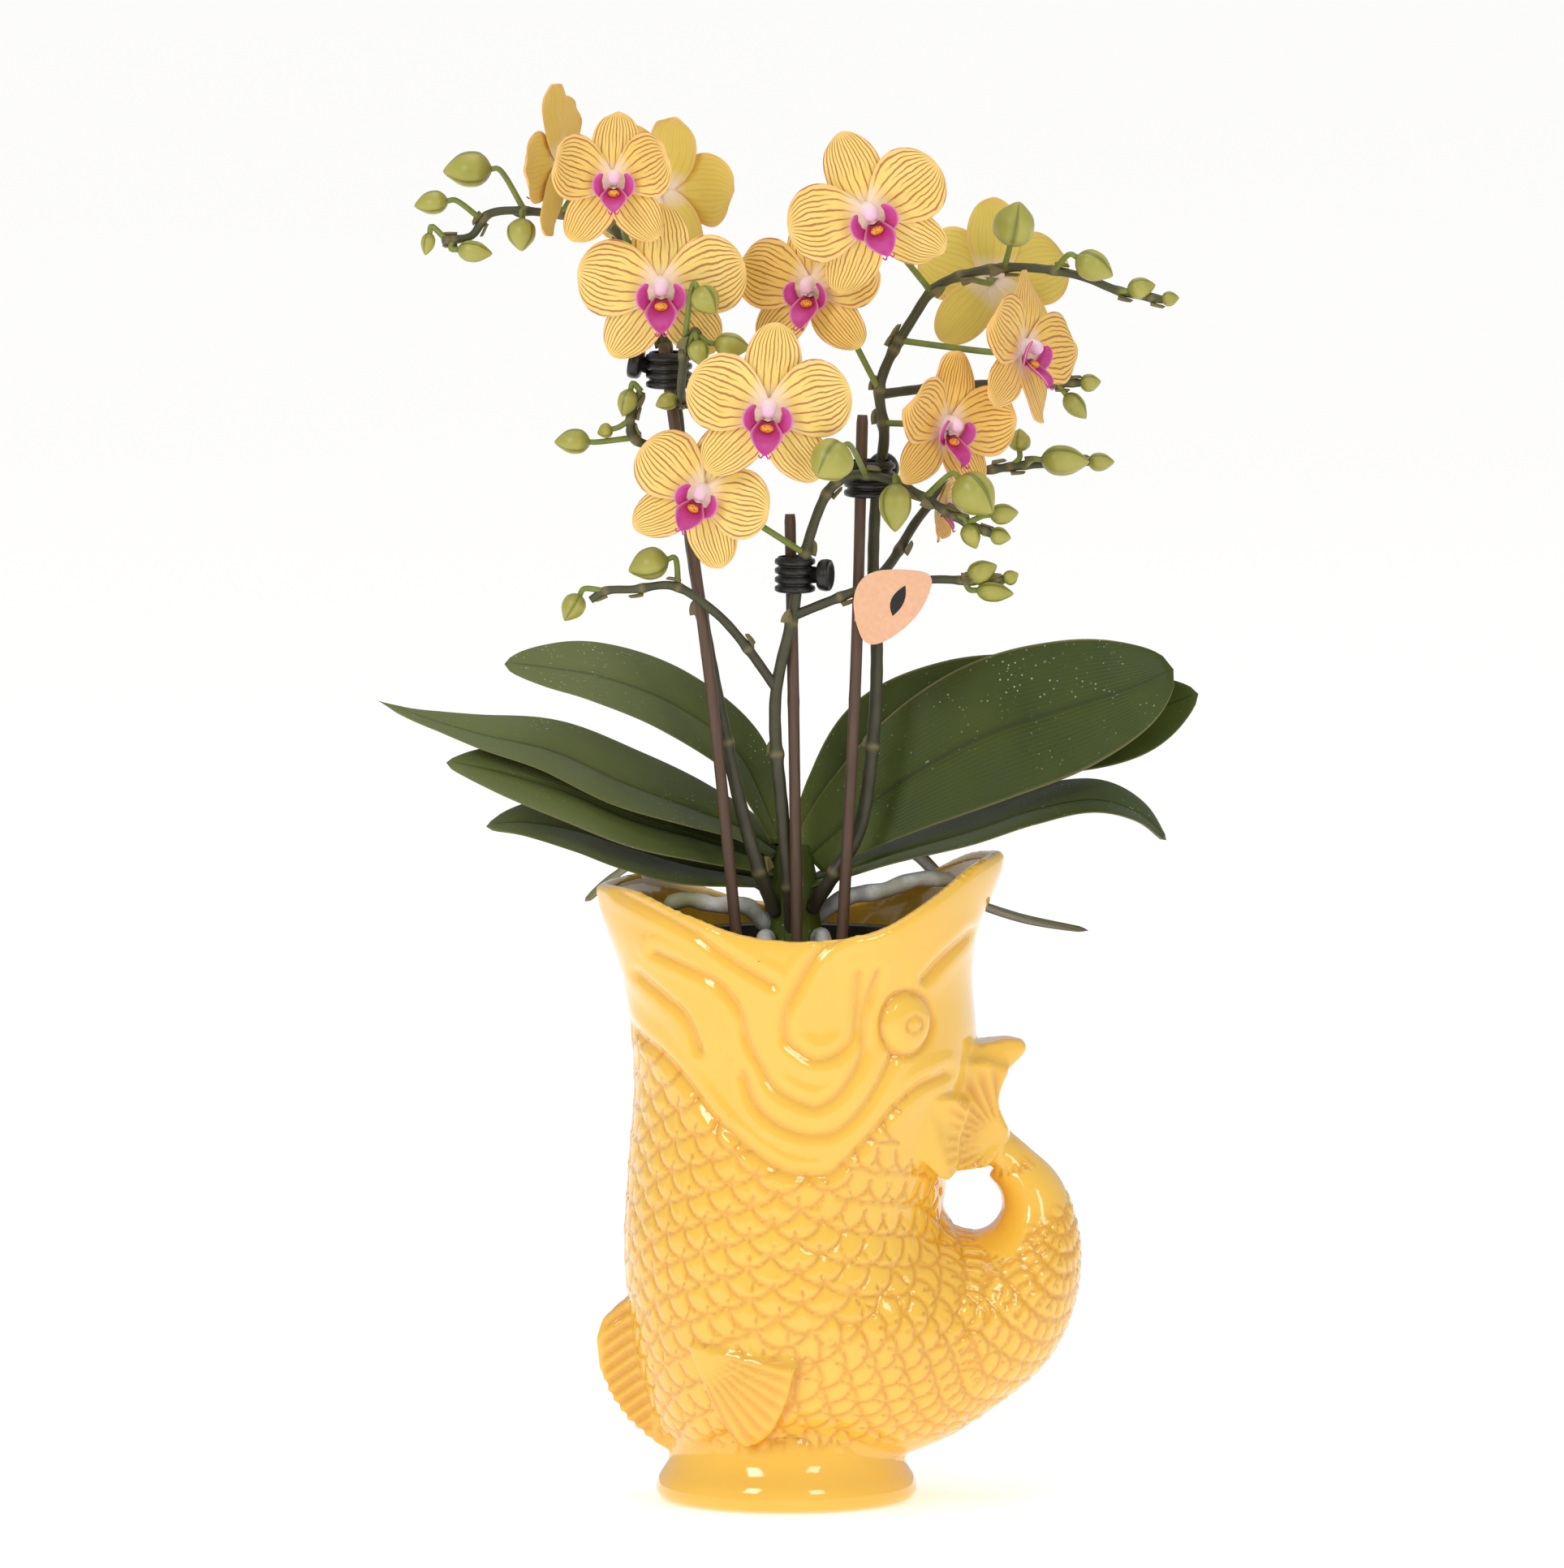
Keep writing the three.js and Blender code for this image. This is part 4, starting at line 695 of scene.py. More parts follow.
# ---- leaves ----
# Nine thick strap leaves in two ranks from a short crown. Each is folded along a sunk midrib, dark and satin
# above, browner below, with a thin pale margin and specks of dried spray. The leaves on the left are painted
# paler, a painted sheen, and the sunk midrib is painted darker, painted shade in its crease.
LEAF_THICKNESS = 2.0
LEAVES = {
    "leaf_left_top": dict(width=30, across=(0.28, 0.85, 0.45), fold=0.12, point=0.62, line=[
        (-2, 3.5, 31), (-6, 8, 41), (-14, 13, 56), (-32, 14, 69), (-52, 13, 76.5), (-66, 11, 79),
        (-78, 10, 80.5),
    ]),
    "leaf_left_upper": dict(width=34, across=(0.2, 0.92, 0.33), fold=0.14, point=1.3, widest=0.42, line=[
        (-2, 5, 28), (-12, 8, 34.5), (-26, 10, 40), (-45, 11, 47), (-65, 10, 56), (-85, 7, 61), (-104, 5, 67),
        (-113, 4, 71)]),
    "leaf_left_middle": dict(width=36, across=(0.2, 0.9, 0.38), fold=0.14, point=0.72, line=[
        (-1, 4, 24), (-12, 6, 28), (-24, 5, 32), (-42, 2, 37.5), (-62, 0, 46), (-80, -2, 51.5),
        (-94, -3, 54.5),
    ]),
    "leaf_left_lower": dict(width=33, across=(0.2, 0.9, 0.3), fold=0.12, point=0.75, line=[
        (-1, 4, 20), (-12, 5, 22), (-28, 5, 25), (-44, 4, 30), (-58, 2, 34.5), (-72, 0, 37),
        (-83, -1, 36.5),
    ]),
    "leaf_left_small": dict(width=18, across=(0.25, 0.95, 0.1), fold=0.12, point=0.7, line=[
        (-2, 7, 16), (-12, 16, 21), (-25, 24, 25), (-36, 31, 26), (-46, 36, 20), (-56, 40, 11)]),
    "leaf_right_back": dict(width=36, across=(-0.35, 0.42, 0.82), fold=0.1, point=0.66, line=[
        (5.5, 6.5, 29.5), (15, 13.5, 44), (28, 18, 58), (48, 20, 64), (74, 19, 65), (97, 15, 66),
        (114, 12, 72),
    ]),
    "leaf_right_top": dict(width=41, across=(-0.42, 0.4, 0.81), fold=0.1, point=0.52, line=[
        (6, 3, 27.5), (18, 5, 38), (36, 6, 51), (57, 6, 62), (78, 5, 69), (96, 3, 75), (107, 1, 80)]),
    "leaf_right_lower": dict(width=30, across=(0.1, 0.94, 0.26), fold=0.14, point=0.7, line=[
        (6, 2, 20), (16, 0, 23.5), (30, -1, 28.5), (52, -1, 35), (70, -1, 41), (86, -2, 43.5), (97, -3, 40),
        (105, -4, 33)]),
    "leaf_right_small": dict(width=18, across=(-0.3, 0.95, 0), fold=0.12, point=0.8, line=[
        (4, 8, 14), (14, 20, 21), (24, 31, 25.5), (34, 41, 25), (47, 46, 13), (64, 46, 6), (84, 44, 2.5)]),
}


def unit(vector):
    """The same direction with a length of 1."""
    return vector / (np.linalg.norm(vector, axis=-1, keepdims=True) + 1e-12)


def trace(points, step):
    """Evenly spaced points on a smooth line through the given ones."""
    rows = np.array(points, float)
    rows = np.vstack([2 * rows[0] - rows[1], rows, 2 * rows[-1] - rows[-2]])
    t = np.linspace(0, 1, 24, endpoint=False)[:, None]
    fine = []
    for p0, p1, p2, p3 in zip(rows, rows[1:], rows[2:], rows[3:]):
        d0, d1, d2 = (np.linalg.norm(gap) ** 0.5 for gap in (p1 - p0, p2 - p1, p3 - p2))
        leave = ((p1 - p0) / d0 - (p2 - p0) / (d0 + d1) + (p2 - p1) / d1) * d1
        arrive = ((p2 - p1) / d1 - (p3 - p1) / (d1 + d2) + (p3 - p2) / d2) * d1
        bend = t * (1 - t) ** 2 * leave - t * t * (1 - t) * arrive
        fine.append((1 + 2 * t) * (1 - t) ** 2 * p1 + t * t * (3 - 2 * t) * p2 + bend)
    fine = np.vstack(fine + [rows[-2:-1]])
    run = np.concatenate([[0], np.cumsum(np.linalg.norm(np.diff(fine, axis=0), axis=1))])
    at = np.linspace(0, run[-1], max(3, round(run[-1] / step)) + 1)
    return np.stack([np.interp(at, run, fine[:, k]) for k in range(3)], axis=1)


def raised(points):
    """Points measured from the bark, put at their height in the pot."""
    return [(x, y, z + BARK_TOP) for x, y, z in points]


def blade_half(u, base, widest, point):
    """Half width of a leaf or petal as a share of its widest, at u along it."""
    rise = base + (1 - base) * np.sin(math.pi / 2 * np.clip(u / widest, 0, 1))
    fall = np.clip(1 - (np.clip(u - widest, 0, 1) / (1 - widest)) ** 2, 0, 1) ** point
    return np.where(u < widest, rise, fall)


def blade(line, across, half, thickness, lift, around, upright=False):
    """Rings of a thin blade: lift(u, s) raises it at u along and s across, from -1 to 1."""
    ahead = unit(np.gradient(line, axis=0))
    across = np.broadcast_to(unit(np.array(across, float)), line.shape)
    side = unit(across - ahead * np.sum(across * ahead, axis=1, keepdims=True))
    up = np.cross(ahead, side)
    if up[:, 2].mean() < 0 and upright:
        side, up = -side, -up
    turn = np.linspace(0, 2 * math.pi, around, endpoint=False)[None, :]
    u = np.linspace(0, 1, len(line))[:, None]
    s = np.cos(turn) * np.ones_like(u)
    fade = np.clip(half[:, None] / (0.35 * half.max()), 0, 1)
    rise = fade * lift(u, s) + thickness / 2 * np.sin(turn) * np.clip(half[:, None] / thickness, 0, 1)
    rings = line[:, None] + side[:, None] * (s * half[:, None])[..., None] + up[:, None] * rise[..., None]
    fields = dict(across=s, along=u * np.ones_like(s), top=(np.sin(turn) * np.ones_like(u)) > 0.02)
    return rings, fields


def capped(rings):
    """Rings of a blade with both ends drawn to a point."""
    return [point_ring(rings[0])] + list(rings) + [point_ring(rings[-1])]


def capped_fields(fields):
    """Values of a blade's rings, repeated for its two drawn-in ends."""
    return {key: np.vstack([value[:1], value, value[-1:]]) for key, value in fields.items()}


def maths(tree, operation, *values):
    """A sum on sockets and numbers."""
    return add_node(tree, "ShaderNodeMath", dict(enumerate(values)), operation=operation).outputs[0]


leaf_green, tree, shader = new_material("orchid_leaf")
place = object_place(tree)
across, reach = kept(tree, "across"), kept(tree, "along")
mottle = noise(tree, place, 55.0, 4.0)
upper = blend(tree, mottle, "2c370f", "4b5720")
lower = blend(tree, mottle, "4b4a2d", "62593a")
faced = blend(tree, kept(tree, "top"), lower, upper)
sides = add_node(tree, "ShaderNodeSeparateXYZ", {0: place})
# Leaves on the left of the plant are painted paler: a painted sheen for the light they catch there.
left_sheen = blend(tree, ramp(tree, sides.outputs["X"], -0.055, -0.012, 0.72, 0.0), faced, "727b48")
based = blend(tree, ramp(tree, reach, 0.02, 0.22, 0.7, 0.0), left_sheen, "62702c")
out = maths(tree, "ABSOLUTE", across)
edged = blend(tree, ramp(tree, out, 0.955, 0.995), based, "77704a")
# The sunk midrib is painted darker: painted shade in its crease. The crown's fold lines get the same painted
# shade.
midrib_shade = blend(tree, ramp(tree, out, 0.0, 0.07, 0.45, 0.0), edged, "191f0b")
spray = add_node(tree, "ShaderNodeTexVoronoi", {"Vector": place, "Scale": 620.0, "Randomness": 1.0})
drops = ramp(tree, spray.outputs["Distance"], 0.11, 0.19, 1.0, 0.0)
where = ramp(tree, noise(tree, place, 38.0, 6.0, 0.8), 0.5, 0.66)
specks = maths(tree, "MULTIPLY", maths(tree, "MULTIPLY", drops, where), 0.75)
tree.links.new(blend(tree, specks, midrib_shade, "c9cdb8"), shader.inputs["Base Color"])
wave = maths(tree, "SINE", maths(tree, "MULTIPLY", across, 95.0))
veined = add_node(tree, "ShaderNodeBump", {"Height": wave, "Strength": 0.12, "Distance": 0.0003})
pits = {"Height": mottle, "Strength": 0.25, "Distance": 0.0015, "Normal": veined.outputs["Normal"]}
pitted = add_node(tree, "ShaderNodeBump", pits)
tree.links.new(pitted.outputs["Normal"], shader.inputs["Normal"])
tree.links.new(ramp(tree, mottle, 0.3, 0.7, 0.34, 0.5), shader.inputs["Roughness"])
shader.inputs["Specular IOR Level"].default_value = 0.2

for name, leaf in LEAVES.items():
    line = trace(raised(leaf["line"]), 1.5)
    u = np.linspace(0, 1, len(line))
    half = leaf["width"] / 2 * blade_half(u, 0.3, leaf.get("widest", 0.58), leaf["point"])
    waves = chance.uniform(0, 6.28)

    def lift(u, s, half=half[:, None], fold=leaf["fold"], waves=waves):
        """A shallow trough with a sunk midrib and a slightly wavy margin."""
        trough = fold * half * (np.sqrt(s * s + 0.02) - 0.14)
        rib = 0.75 * np.exp(-((s / 0.07) ** 2)) * (1 - u) ** 0.4
        return trough - rib + 0.35 * s * s * np.sin(u * 9 + waves + s)

    bm = bmesh.new()
    rings, fields = blade(line, leaf["across"], half, LEAF_THICKNESS * 0.8, lift, 72, upright=True)
    loft(bm, capped(rings), **capped_fields(fields))
    make_piece(name + "_blade", bm, [leaf_green], "leaf", name)


# ---- crown and roots ----
# The short stem is wrapped in old leaf bases. Four silvery aerial roots grow out of it, two over the bark
# towards the rim and two down into it.
ROOT_RADIUS = 2.3
CROWN_MIDDLE = (2.0, 2.0)
ROOTS = {
    "root_left": [(-5, 1, 9), (-10, -5, 14), (-16, -8, 15.5), (-24, -8, 16.5), (-34, -8, 16)],
    "root_right": [(8, 3, 12), (14, -2, 15.5), (22, -6, 18.5), (32, -6, 21), (41, -5, 22.5), (47, -3, 22.5)],
    "root_short_left": [(-4, 0, 5), (-6, -7, 6), (-6, -12, 1), (-6, -13, -8)],
    "root_short_right": [(8, -1, 6), (10, -7, 6), (10, -11, 1), (10, -12, -8)],
}


def tube(line, radii, sides=14):
    """Rings of a round stem along a line, with its ends closed."""
    ahead = unit(np.gradient(line, axis=0))
    radii = np.broadcast_to(radii, (len(line),))
    turns = np.linspace(0, 2 * math.pi, sides, endpoint=False)[:, None]
    side = unit(np.cross(ahead[0], (0.31, 0.55, 0.78)))
    rings = []
    for place, heading, radius in zip(line, ahead, radii):
        side = unit(side - heading * side.dot(heading))
        rings.append(place + radius * (np.cos(turns) * side + np.sin(turns) * np.cross(heading, side)))
    return [point_ring(rings[0])] + rings + [point_ring(rings[-1])]


def ends(values):
    """Values along a tube, repeated for its two closed ends."""
    values = np.asarray(values, float)
    return np.concatenate([values[:1], values, values[-1:]])[:, None]


root_skin, tree, shader = new_material("aerial_root")
place = object_place(tree)
felt = add_grain(tree, shader, place, 420.0, 7.0, 0.5, 0.0006, 0.7)
silver = blend(tree, felt, "9b9f9a", "eff0ee")
mossy = blend(tree, ramp(tree, noise(tree, place, 90.0, 3.0), 0.52, 0.66, 0.0, 0.55), silver, "8d8a5a")
greened = blend(tree, ramp(tree, kept(tree, "along"), 0.62, 0.8, 0.0, 0.7), mossy, "7d7f45")
tree.links.new(greened, shader.inputs["Base Color"])
shader.inputs["Roughness"].default_value = 0.62

for name, points in ROOTS.items():
    line = trace(raised(points), 0.9)
    u = np.linspace(0, 1, len(line))
    line[:, 2] += 0.5 * np.sin(u * 14 + len(name))
    radii = ROOT_RADIUS * (1.12 - 0.2 * u) * (1 + 0.07 * np.sin(u * 31 + 1.3 * len(name)))
    radii *= np.sqrt(np.clip((1 - u) / 0.05, 0.02, 1))
    bm = bmesh.new()
    loft(bm, tube(line, radii, 18), along=ends(u if name == "root_left" else u * 0.6))
    make_piece(name + "_skin", bm, [root_skin], "root", name)

bm = bmesh.new()
crown_line = np.array([(*CROWN_MIDDLE, BARK_TOP + z) for z in np.linspace(-14, 31, 46)])
u = np.linspace(0, 1, len(crown_line))
sheaths = 1 + 0.07 * np.abs(np.sin(u * 12))
rings = tube(crown_line, along([(0, 5), (0.3, 7), (0.7, 7.2), (1, 4)], u) * sheaths, 28)
# The fold values draw thin dark lines down the sheaths, through the leaf material's darker midrib: painted
# shade at folds the mesh does not have.
fold_shade_lines = np.cos(np.linspace(0, 12 * math.pi, 28))[None, :] * 0.5
loft(bm, rings, along=ends(0.02 + 0.14 * u), across=fold_shade_lines, top=1.0)
make_piece("crown_sheaths", bm, [leaf_green], "leaf", "crown")


# ---- spikes and branches ----
# Dark, ridged flower spikes with a pale papery bract at every joint. The thin stalks of the flowers and
# buds are greener, and the last small buds sit at the ends.
SPIKE_RADIUS = 2.0
SPIKE_TIP_RADIUS = 1.1
BRANCH_RADIUS = 1.4
STALK_RADIUS = 0.9
JOINT_STEP = 37.0
STEM_STEP = 0.6
BUD_SIDES = 36
STEMS = {
    "spike_left": [
        (-3, -4, 13), (-7, -9.5, 24), (-11, -9.5, 37), (-17, -8.5, 63), (-26, -7, 113), (-32, -3, 165),
        (-40, -3, 192), (-50, -1, 204), (-62, 3, 206), (-82, 5, 206), (-87, 4, 200), (-95, 2, 199),
    ],
    "spike_middle": [
        (1.5, -4, 8), (1, -9, 18), (-1, -9.5, 40), (-3, -9.5, 73), (2, -9.5, 97), (4, -9.5, 109),
        (12, -9, 131), (18, -10, 135), (28, -11, 134), (38, -12, 129), (48, -13, 123), (57, -14, 119),
    ],
    "spike_right": [
        (7, -4, 14), (13, -10, 24), (20, -8, 36), (24, -4, 62), (25, 0, 85), (24, 2, 108), (25, 3, 130),
        (27, 4, 144), (26, 5, 159), (35, 6, 177), (42, 6, 186), (60, 6, 191), (80, 6, 189), (92, 6, 184.5),
        (105, 5, 182),
    ],
    "branch_left_side": [(-29.2, -5, 138), (-36, -6, 142), (-42, -7, 145), (-43, -8, 151), (-40, -8, 158)],
    "branch_left_front": [
        (-31.4, -3.8, 155), (-27, -8, 154.5), (-28, -15, 156), (-29, -24, 160), (-28.5, -28, 167),
        (-28, -28, 173), (-24, -29, 177),
    ],
    "branch_middle_left": [
        (-2.9, -9.5, 76), (-12, -13, 89), (-20, -17, 98), (-31, -17, 105), (-42, -16, 104), (-50, -16, 103.5),
        (-54, -16, 101)],
    "branch_middle_right": [
        (2, -9.5, 96), (14, -11.5, 101), (24, -11.5, 104.5), (41, -9, 106), (52, -8, 105.5), (60, -8, 106)],
    "branch_right_low": [
        (24, 2, 104), (29, 8, 109), (37, 16, 121), (47, 18, 131), (61, 17, 134.5), (84, 17, 136),
    ],
    "branch_right_high": [(26, 4.8, 156), (38, 10, 157), (54, 13, 158), (70, 13, 158), (82, 12, 158.5)],
}
# Flowers: middle, turn to the right, tip up, roll, size, the stem it grows on and where.
FLOWERS = {
    "flower_1": ((-47.5, -31, 218), 0, 12, 0, 0.84, "spike_left", (-44, -3, 198)),
    "flower_2": ((-62, -2, 221), -110, 0, -18, 0.92, "spike_left", (-62, 3, 206)),
    "flower_3": ((-34.5, -22, 187.5), 0, 0, 0, 1, "spike_left", (-37, -3, 183)),
    "flower_4": ((-34, 14, 212), 150, 10, 16, 0.95, "spike_left", (-38, -3, 188)),
    "flower_5": ((-23.5, -34, 132), -8, 0, -25, 0.9, "spike_middle", (5, -9.5, 113)),
    "flower_6": ((7, -12, 187), -20, 0, 0, 0.92, "spike_right", (26, 5, 157)),
    "flower_7": ((23, -31, 209), 5, 0, 22, 1, "spike_right", (40, 6, 184)),
    "flower_8": ((-5, -45, 156), 0, 0, -5, 1, "spike_middle", (14, -9.3, 133)),
    "flower_9": ((57, 22, 186), 170, 0, 0, 0.95, "spike_right", (48, 6, 188.5)),
    "flower_10": ((65, -7, 169), 56, 5, -15, 0.92, "spike_right", (31, 5.6, 171)),
    "flower_11": ((44, -12, 148.5), 38, 0, -8, 0.9, "spike_right", (27, 4, 148)),
    "flower_12": ((42, 2, 126), 80, -15, 0, 0.55, "spike_middle", (33, -11.6, 132)),
}
# Buds: middle, the way the tip points, length, width, the stem it grows on and where.
BUDS = {
    "bud_left_1": ((-88, 6, 218), (-1, 0, -0.05), 13.5, 10, "spike_left", (-72, 4, 206.3)),
    "bud_left_2": ((-98, 4, 209), (-1, 0, -0.15), 9.5, 6.6, "spike_left", (-84, 5, 204)),
    "bud_left_3": ((-73, -3, 201), (0, -0.4, -1), 9.5, 8, "spike_left", (-72, 4, 206.3)),
    "bud_left_4": ((-86, 0, 196), (1, -0.2, -0.1), 10, 6, "spike_left", (-92, 3, 199)),
    "bud_front_1": ((-22, -32.5, 185.5), (0.5, -0.3, -0.7), 9, 8, "branch_left_front", (-28, -28, 172)),
    "bud_front_2": ((-15, -31, 173), (1, -0.2, -0.1), 10, 7, "branch_left_front", (-25, -28.7, 176.5)),
    "bud_side_1": ((-59, -8, 144), (-1, 0, 0), 10, 7, "branch_left_side", (-42, -7, 145)),
    "bud_middle_1": ((12, -54, 143), (-0.5, -0.6, -0.5), 13, 12, "spike_middle", (22, -10.5, 135)),
    "bud_middle_2": ((30, -19, 127), (0, -0.1, -1), 13.5, 9, "spike_middle", (32, -11.5, 132.5)),
    "bud_middle_3": ((52, -26, 131), (0.6, -0.3, -0.6), 14, 12, "spike_middle", (38, -12, 129)),
    "bud_low_left_1": ((-38, -14, 110.5), (-1, 0, -0.3), 11.5, 9, "branch_middle_left", (-30, -17, 104.5)),
    "bud_low_left_2": ((-59, -16.5, 99), (-0.6, 0, -1), 8.5, 6.5, "branch_middle_left", (-50, -16, 103.5)),
    "bud_right_1": ((63, -2, 204), (0.2, -0.4, 1), 13.5, 11.5, "spike_right", (60, 6, 191)),
    "bud_right_2": ((85, -1, 192), (1, -0.2, -0.5), 11.5, 8.5, "spike_right", (74, 6, 190)),
    "bud_right_3": ((77, 10.5, 137), (1, 0, -0.05), 13.5, 8.5, "branch_right_low", (66, 17, 134.9)),
}
# The smallest buds, which are one piece with their stem.
SMALL_BUDS = [
    ((-99, 2, 198), (-0.2, 0, -1), 6.5, 4, "spike_left", (-94, 2.4, 199.4)),
    ((-24, -31, 171), (0.2, -0.2, -0.9), 7.5, 6, "branch_left_front", (-28.3, -28, 170)),
    ((-33, -17, 156), (-0.9, -0.2, -0.3), 6.5, 5, "branch_left_front", (-29, -15, 156)),
    ((-50, -8, 147), (-1, 0, -0.3), 4.5, 4.2, "branch_left_side", (-43, -8, 150)),
    ((-44, -9, 155), (-0.3, -0.2, -1), 8, 5.5, "branch_left_side", (-40, -8, 158)),
    ((60, -17, 125), (1, 0, 0.1), 8, 5.8, "spike_middle", (50, -13.3, 122)),
    ((51, -14, 118.5), (0.4, 0, -1), 7.5, 5.4, "spike_middle", (46, -13, 124)),
    ((59, -14, 118.5), (1, 0, -0.2), 6, 5, "spike_middle", (55, -13.8, 119.8)),
    ((54, -8, 108), (0.9, 0, 0.4), 9, 6.6, "branch_middle_right", (48, -8, 105.8)),
    ((57.5, -9, 102.5), (1, 0, -0.1), 10.5, 5.6, "branch_middle_right", (49, -8, 105.8)),
    ((62, -8, 106.5), (1, 0, 0.5), 4.6, 4.2, "branch_middle_right", (58, -8, 106)),
    ((98, 5, 185.5), (1, 0, 0.2), 8, 6, "spike_right", (92, 6, 184.5)),
    ((106, 5, 182.5), (1, 0, 0.1), 5, 4.2, "spike_right", (101, 5.4, 182.6)),
    ((87, 17, 136), (1, 0, 0), 7.5, 5.2, "branch_right_low", (81, 17, 135.8)),
    ((64.5, 17, 142), (0, 0, 1), 6.5, 6.2, "branch_right_low", (62, 17, 134.7)),
    ((84, 12, 158.5), (1, 0, 0.1), 6, 5, "branch_right_high", (79, 12, 158.4)),
    ((80, 12, 152), (0.5, 0, -0.6), 9, 5.6, "branch_right_high", (74, 12.6, 158.1)),
]
UP = np.array([0, 0, 1.0])
LIFT = np.array([0, 0, BARK_TOP])


def flower_frame(turn, tip, roll):
    """Right, up and facing directions of a flower."""
    turn, tip, roll = (math.radians(angle) for angle in (turn, tip, roll))
    facing = np.array([math.sin(turn) * math.cos(tip), -math.cos(turn) * math.cos(tip), math.sin(tip)])
    right = unit(np.cross(UP, facing))
    up = np.cross(facing, right)
    return np.stack([
        right * math.cos(roll) + up * math.sin(roll), up * math.cos(roll) - right * math.sin(roll), facing])


def nearest(line, place):
    """The point of a line that is nearest to a place."""
    return line[np.argmin(np.linalg.norm(line - place, axis=1))]


def add_bud(bm, place, tip, length, width, slot):
    """Adds a pointed, three-sided bud, slightly hooked towards its tip."""
    heading = unit(np.array(tip, float))
    base = np.array(place) + LIFT - heading * length / 2
    u = np.linspace(0, 1, 30)
    hook = np.outer((u * (1 - u)) ** 2 * length * 0.35, UP)
    line = base + np.outer(u, heading) * length + hook * (0.4 if abs(heading[2]) < 0.8 else 0)
    outline = [
        (0, 0.12), (0.06, 0.45), (0.2, 0.85), (0.42, 1), (0.66, 0.86), (0.86, 0.46), (0.96, 0.2), (1, 0.05),
    ]
    rings = np.array(tube(line, width / 2 * along(outline, u), BUD_SIDES))
    turns = np.linspace(0, 2 * math.pi, BUD_SIDES, endpoint=False)
    middle = rings.mean(axis=1, keepdims=True)
    seams = 1 - 0.09 * np.exp(-((np.sin(1.5 * turns + 0.4) / 0.16) ** 2)) + 0.03 * np.cos(3 * turns)
    rings = middle + (rings - middle) * seams[None, :, None]
    loft(bm, rings, slot, along=ends(u), across=np.sin(1.5 * turns + 0.4)[None, :], young=1.0, joint=0.0)


stem_skin, tree, shader = new_material("orchid_stem")
mottle = add_grain(tree, shader, object_place(tree), 190.0, 6.0, 0.35, 0.0005)
old, fresh = blend(tree, mottle, "231e19", "453d33"), blend(tree, mottle, "5f6c28", "93a143")
grown = blend(tree, kept(tree, "young"), old, fresh)
tree.links.new(blend(tree, kept(tree, "joint"), grown, "7a6f48"), shader.inputs["Base Color"])
shader.inputs["Roughness"].default_value = 0.5

bud_skin, tree, shader = new_material("orchid_bud")
skin = blend(tree, noise(tree, object_place(tree), 120.0, 4.0), "8f9136", "bdb45a")
from_seam = maths(tree, "ABSOLUTE", kept(tree, "across"))
seamed = blend(tree, ramp(tree, from_seam, 0.03, 0.3, 0.75, 0.0), skin, "5d6424")
footed = blend(tree, ramp(tree, kept(tree, "along"), 0.0, 0.35, 0.6, 0.0), seamed, "66702a")
tree.links.new(footed, shader.inputs["Base Color"])
shader.inputs["Roughness"].default_value = 0.36
shader.inputs["Subsurface Weight"].default_value = 0.12
shader.inputs["Subsurface Radius"].default_value = (0.002, 0.002, 0.0005)

lines = {name: trace(raised(points), STEM_STEP) for name, points in STEMS.items()}
for name, line in lines.items():
    bm = bmesh.new()
    run = np.arange(len(line)) * STEM_STEP
    u = run / run[-1]
    radii = SPIKE_RADIUS + (SPIKE_TIP_RADIUS - SPIKE_RADIUS) * u
    if not name.startswith("spike"):
        radii = BRANCH_RADIUS * (1 - 0.25 * u)
    joints = list(np.arange(14.0, run[-1] - 6, JOINT_STEP))
    growing = [row for row in list(BUDS.values()) + SMALL_BUDS if row[4] == name]
    growing_flowers = [row for row in FLOWERS.values() if row[5] == name]
    for grows_at in [row[5] for row in growing] + [row[6] for row in growing_flowers]:
        joints.append(STEM_STEP * np.argmin(np.linalg.norm(line - (np.array(grows_at) + LIFT), axis=1)))
    near = np.min([np.abs(run - d) for d in joints], axis=0)
    radii = radii * (1 + 0.24 * np.exp(-((near / 1.5) ** 2))) * (1 + 0.02 * np.sin(run * 0.9))
    fresh = 0.06 + 0.12 * u
    loft(bm, tube(line, radii, 18), 0, young=ends(fresh), joint=ends(0.8 * np.exp(-((near / 0.8) ** 2))))
    ahead = unit(np.gradient(line, axis=0))
    for d in joints:
        k = min(len(line) - 8, max(1, int(d / STEM_STEP)))
        side = unit(np.cross(ahead[k], (math.cos(d * 2.1), math.sin(d * 2.1), 0.2)))
        bract = np.array([line[k + j] + side * (radii[k] * 1.02 + 0.05 * j) for j in range(8)])
        half = radii[k] * along([(0, 1.0), (0.4, 0.9), (0.8, 0.45), (1, 0.05)], np.linspace(0, 1, 8))
        rings, _ = blade(
            bract, np.cross(ahead[k], side), half, 0.45, lambda u, s, r=radii[k]: -r * 0.45 * s * s, 14)
        loft(bm, capped(rings), 0, young=0.25, joint=0.9)
    for row in growing:
        heading = unit(np.array(row[1], float))
        base = np.array(row[0]) + LIFT - heading * (row[2] / 2 - 0.3)
        start = nearest(line, np.array(row[5]) + LIFT)
        stalk = trace([start, base - heading * 2, base], 0.5)
        loft(bm, tube(stalk, STALK_RADIUS * np.linspace(0.95, 0.85, len(stalk)), 12), 0, young=0.9, joint=0.0)
    for row in growing_flowers:
        facing = flower_frame(*row[1:4])[2]
        back = np.array(row[0]) + LIFT - facing * 1.2 * row[4]
        start = nearest(line, np.array(row[6]) + LIFT)
        stalk = trace([start, back - facing * 7, back], 0.6)
        loft(bm, tube(stalk, STALK_RADIUS, 12), 0, young=0.85, joint=0.0)
    for row in SMALL_BUDS:
        if row[4] == name:
            add_bud(bm, *row[:4], 1)
    make_piece(name + "_grown", bm, [stem_skin, bud_skin], "stem", name)


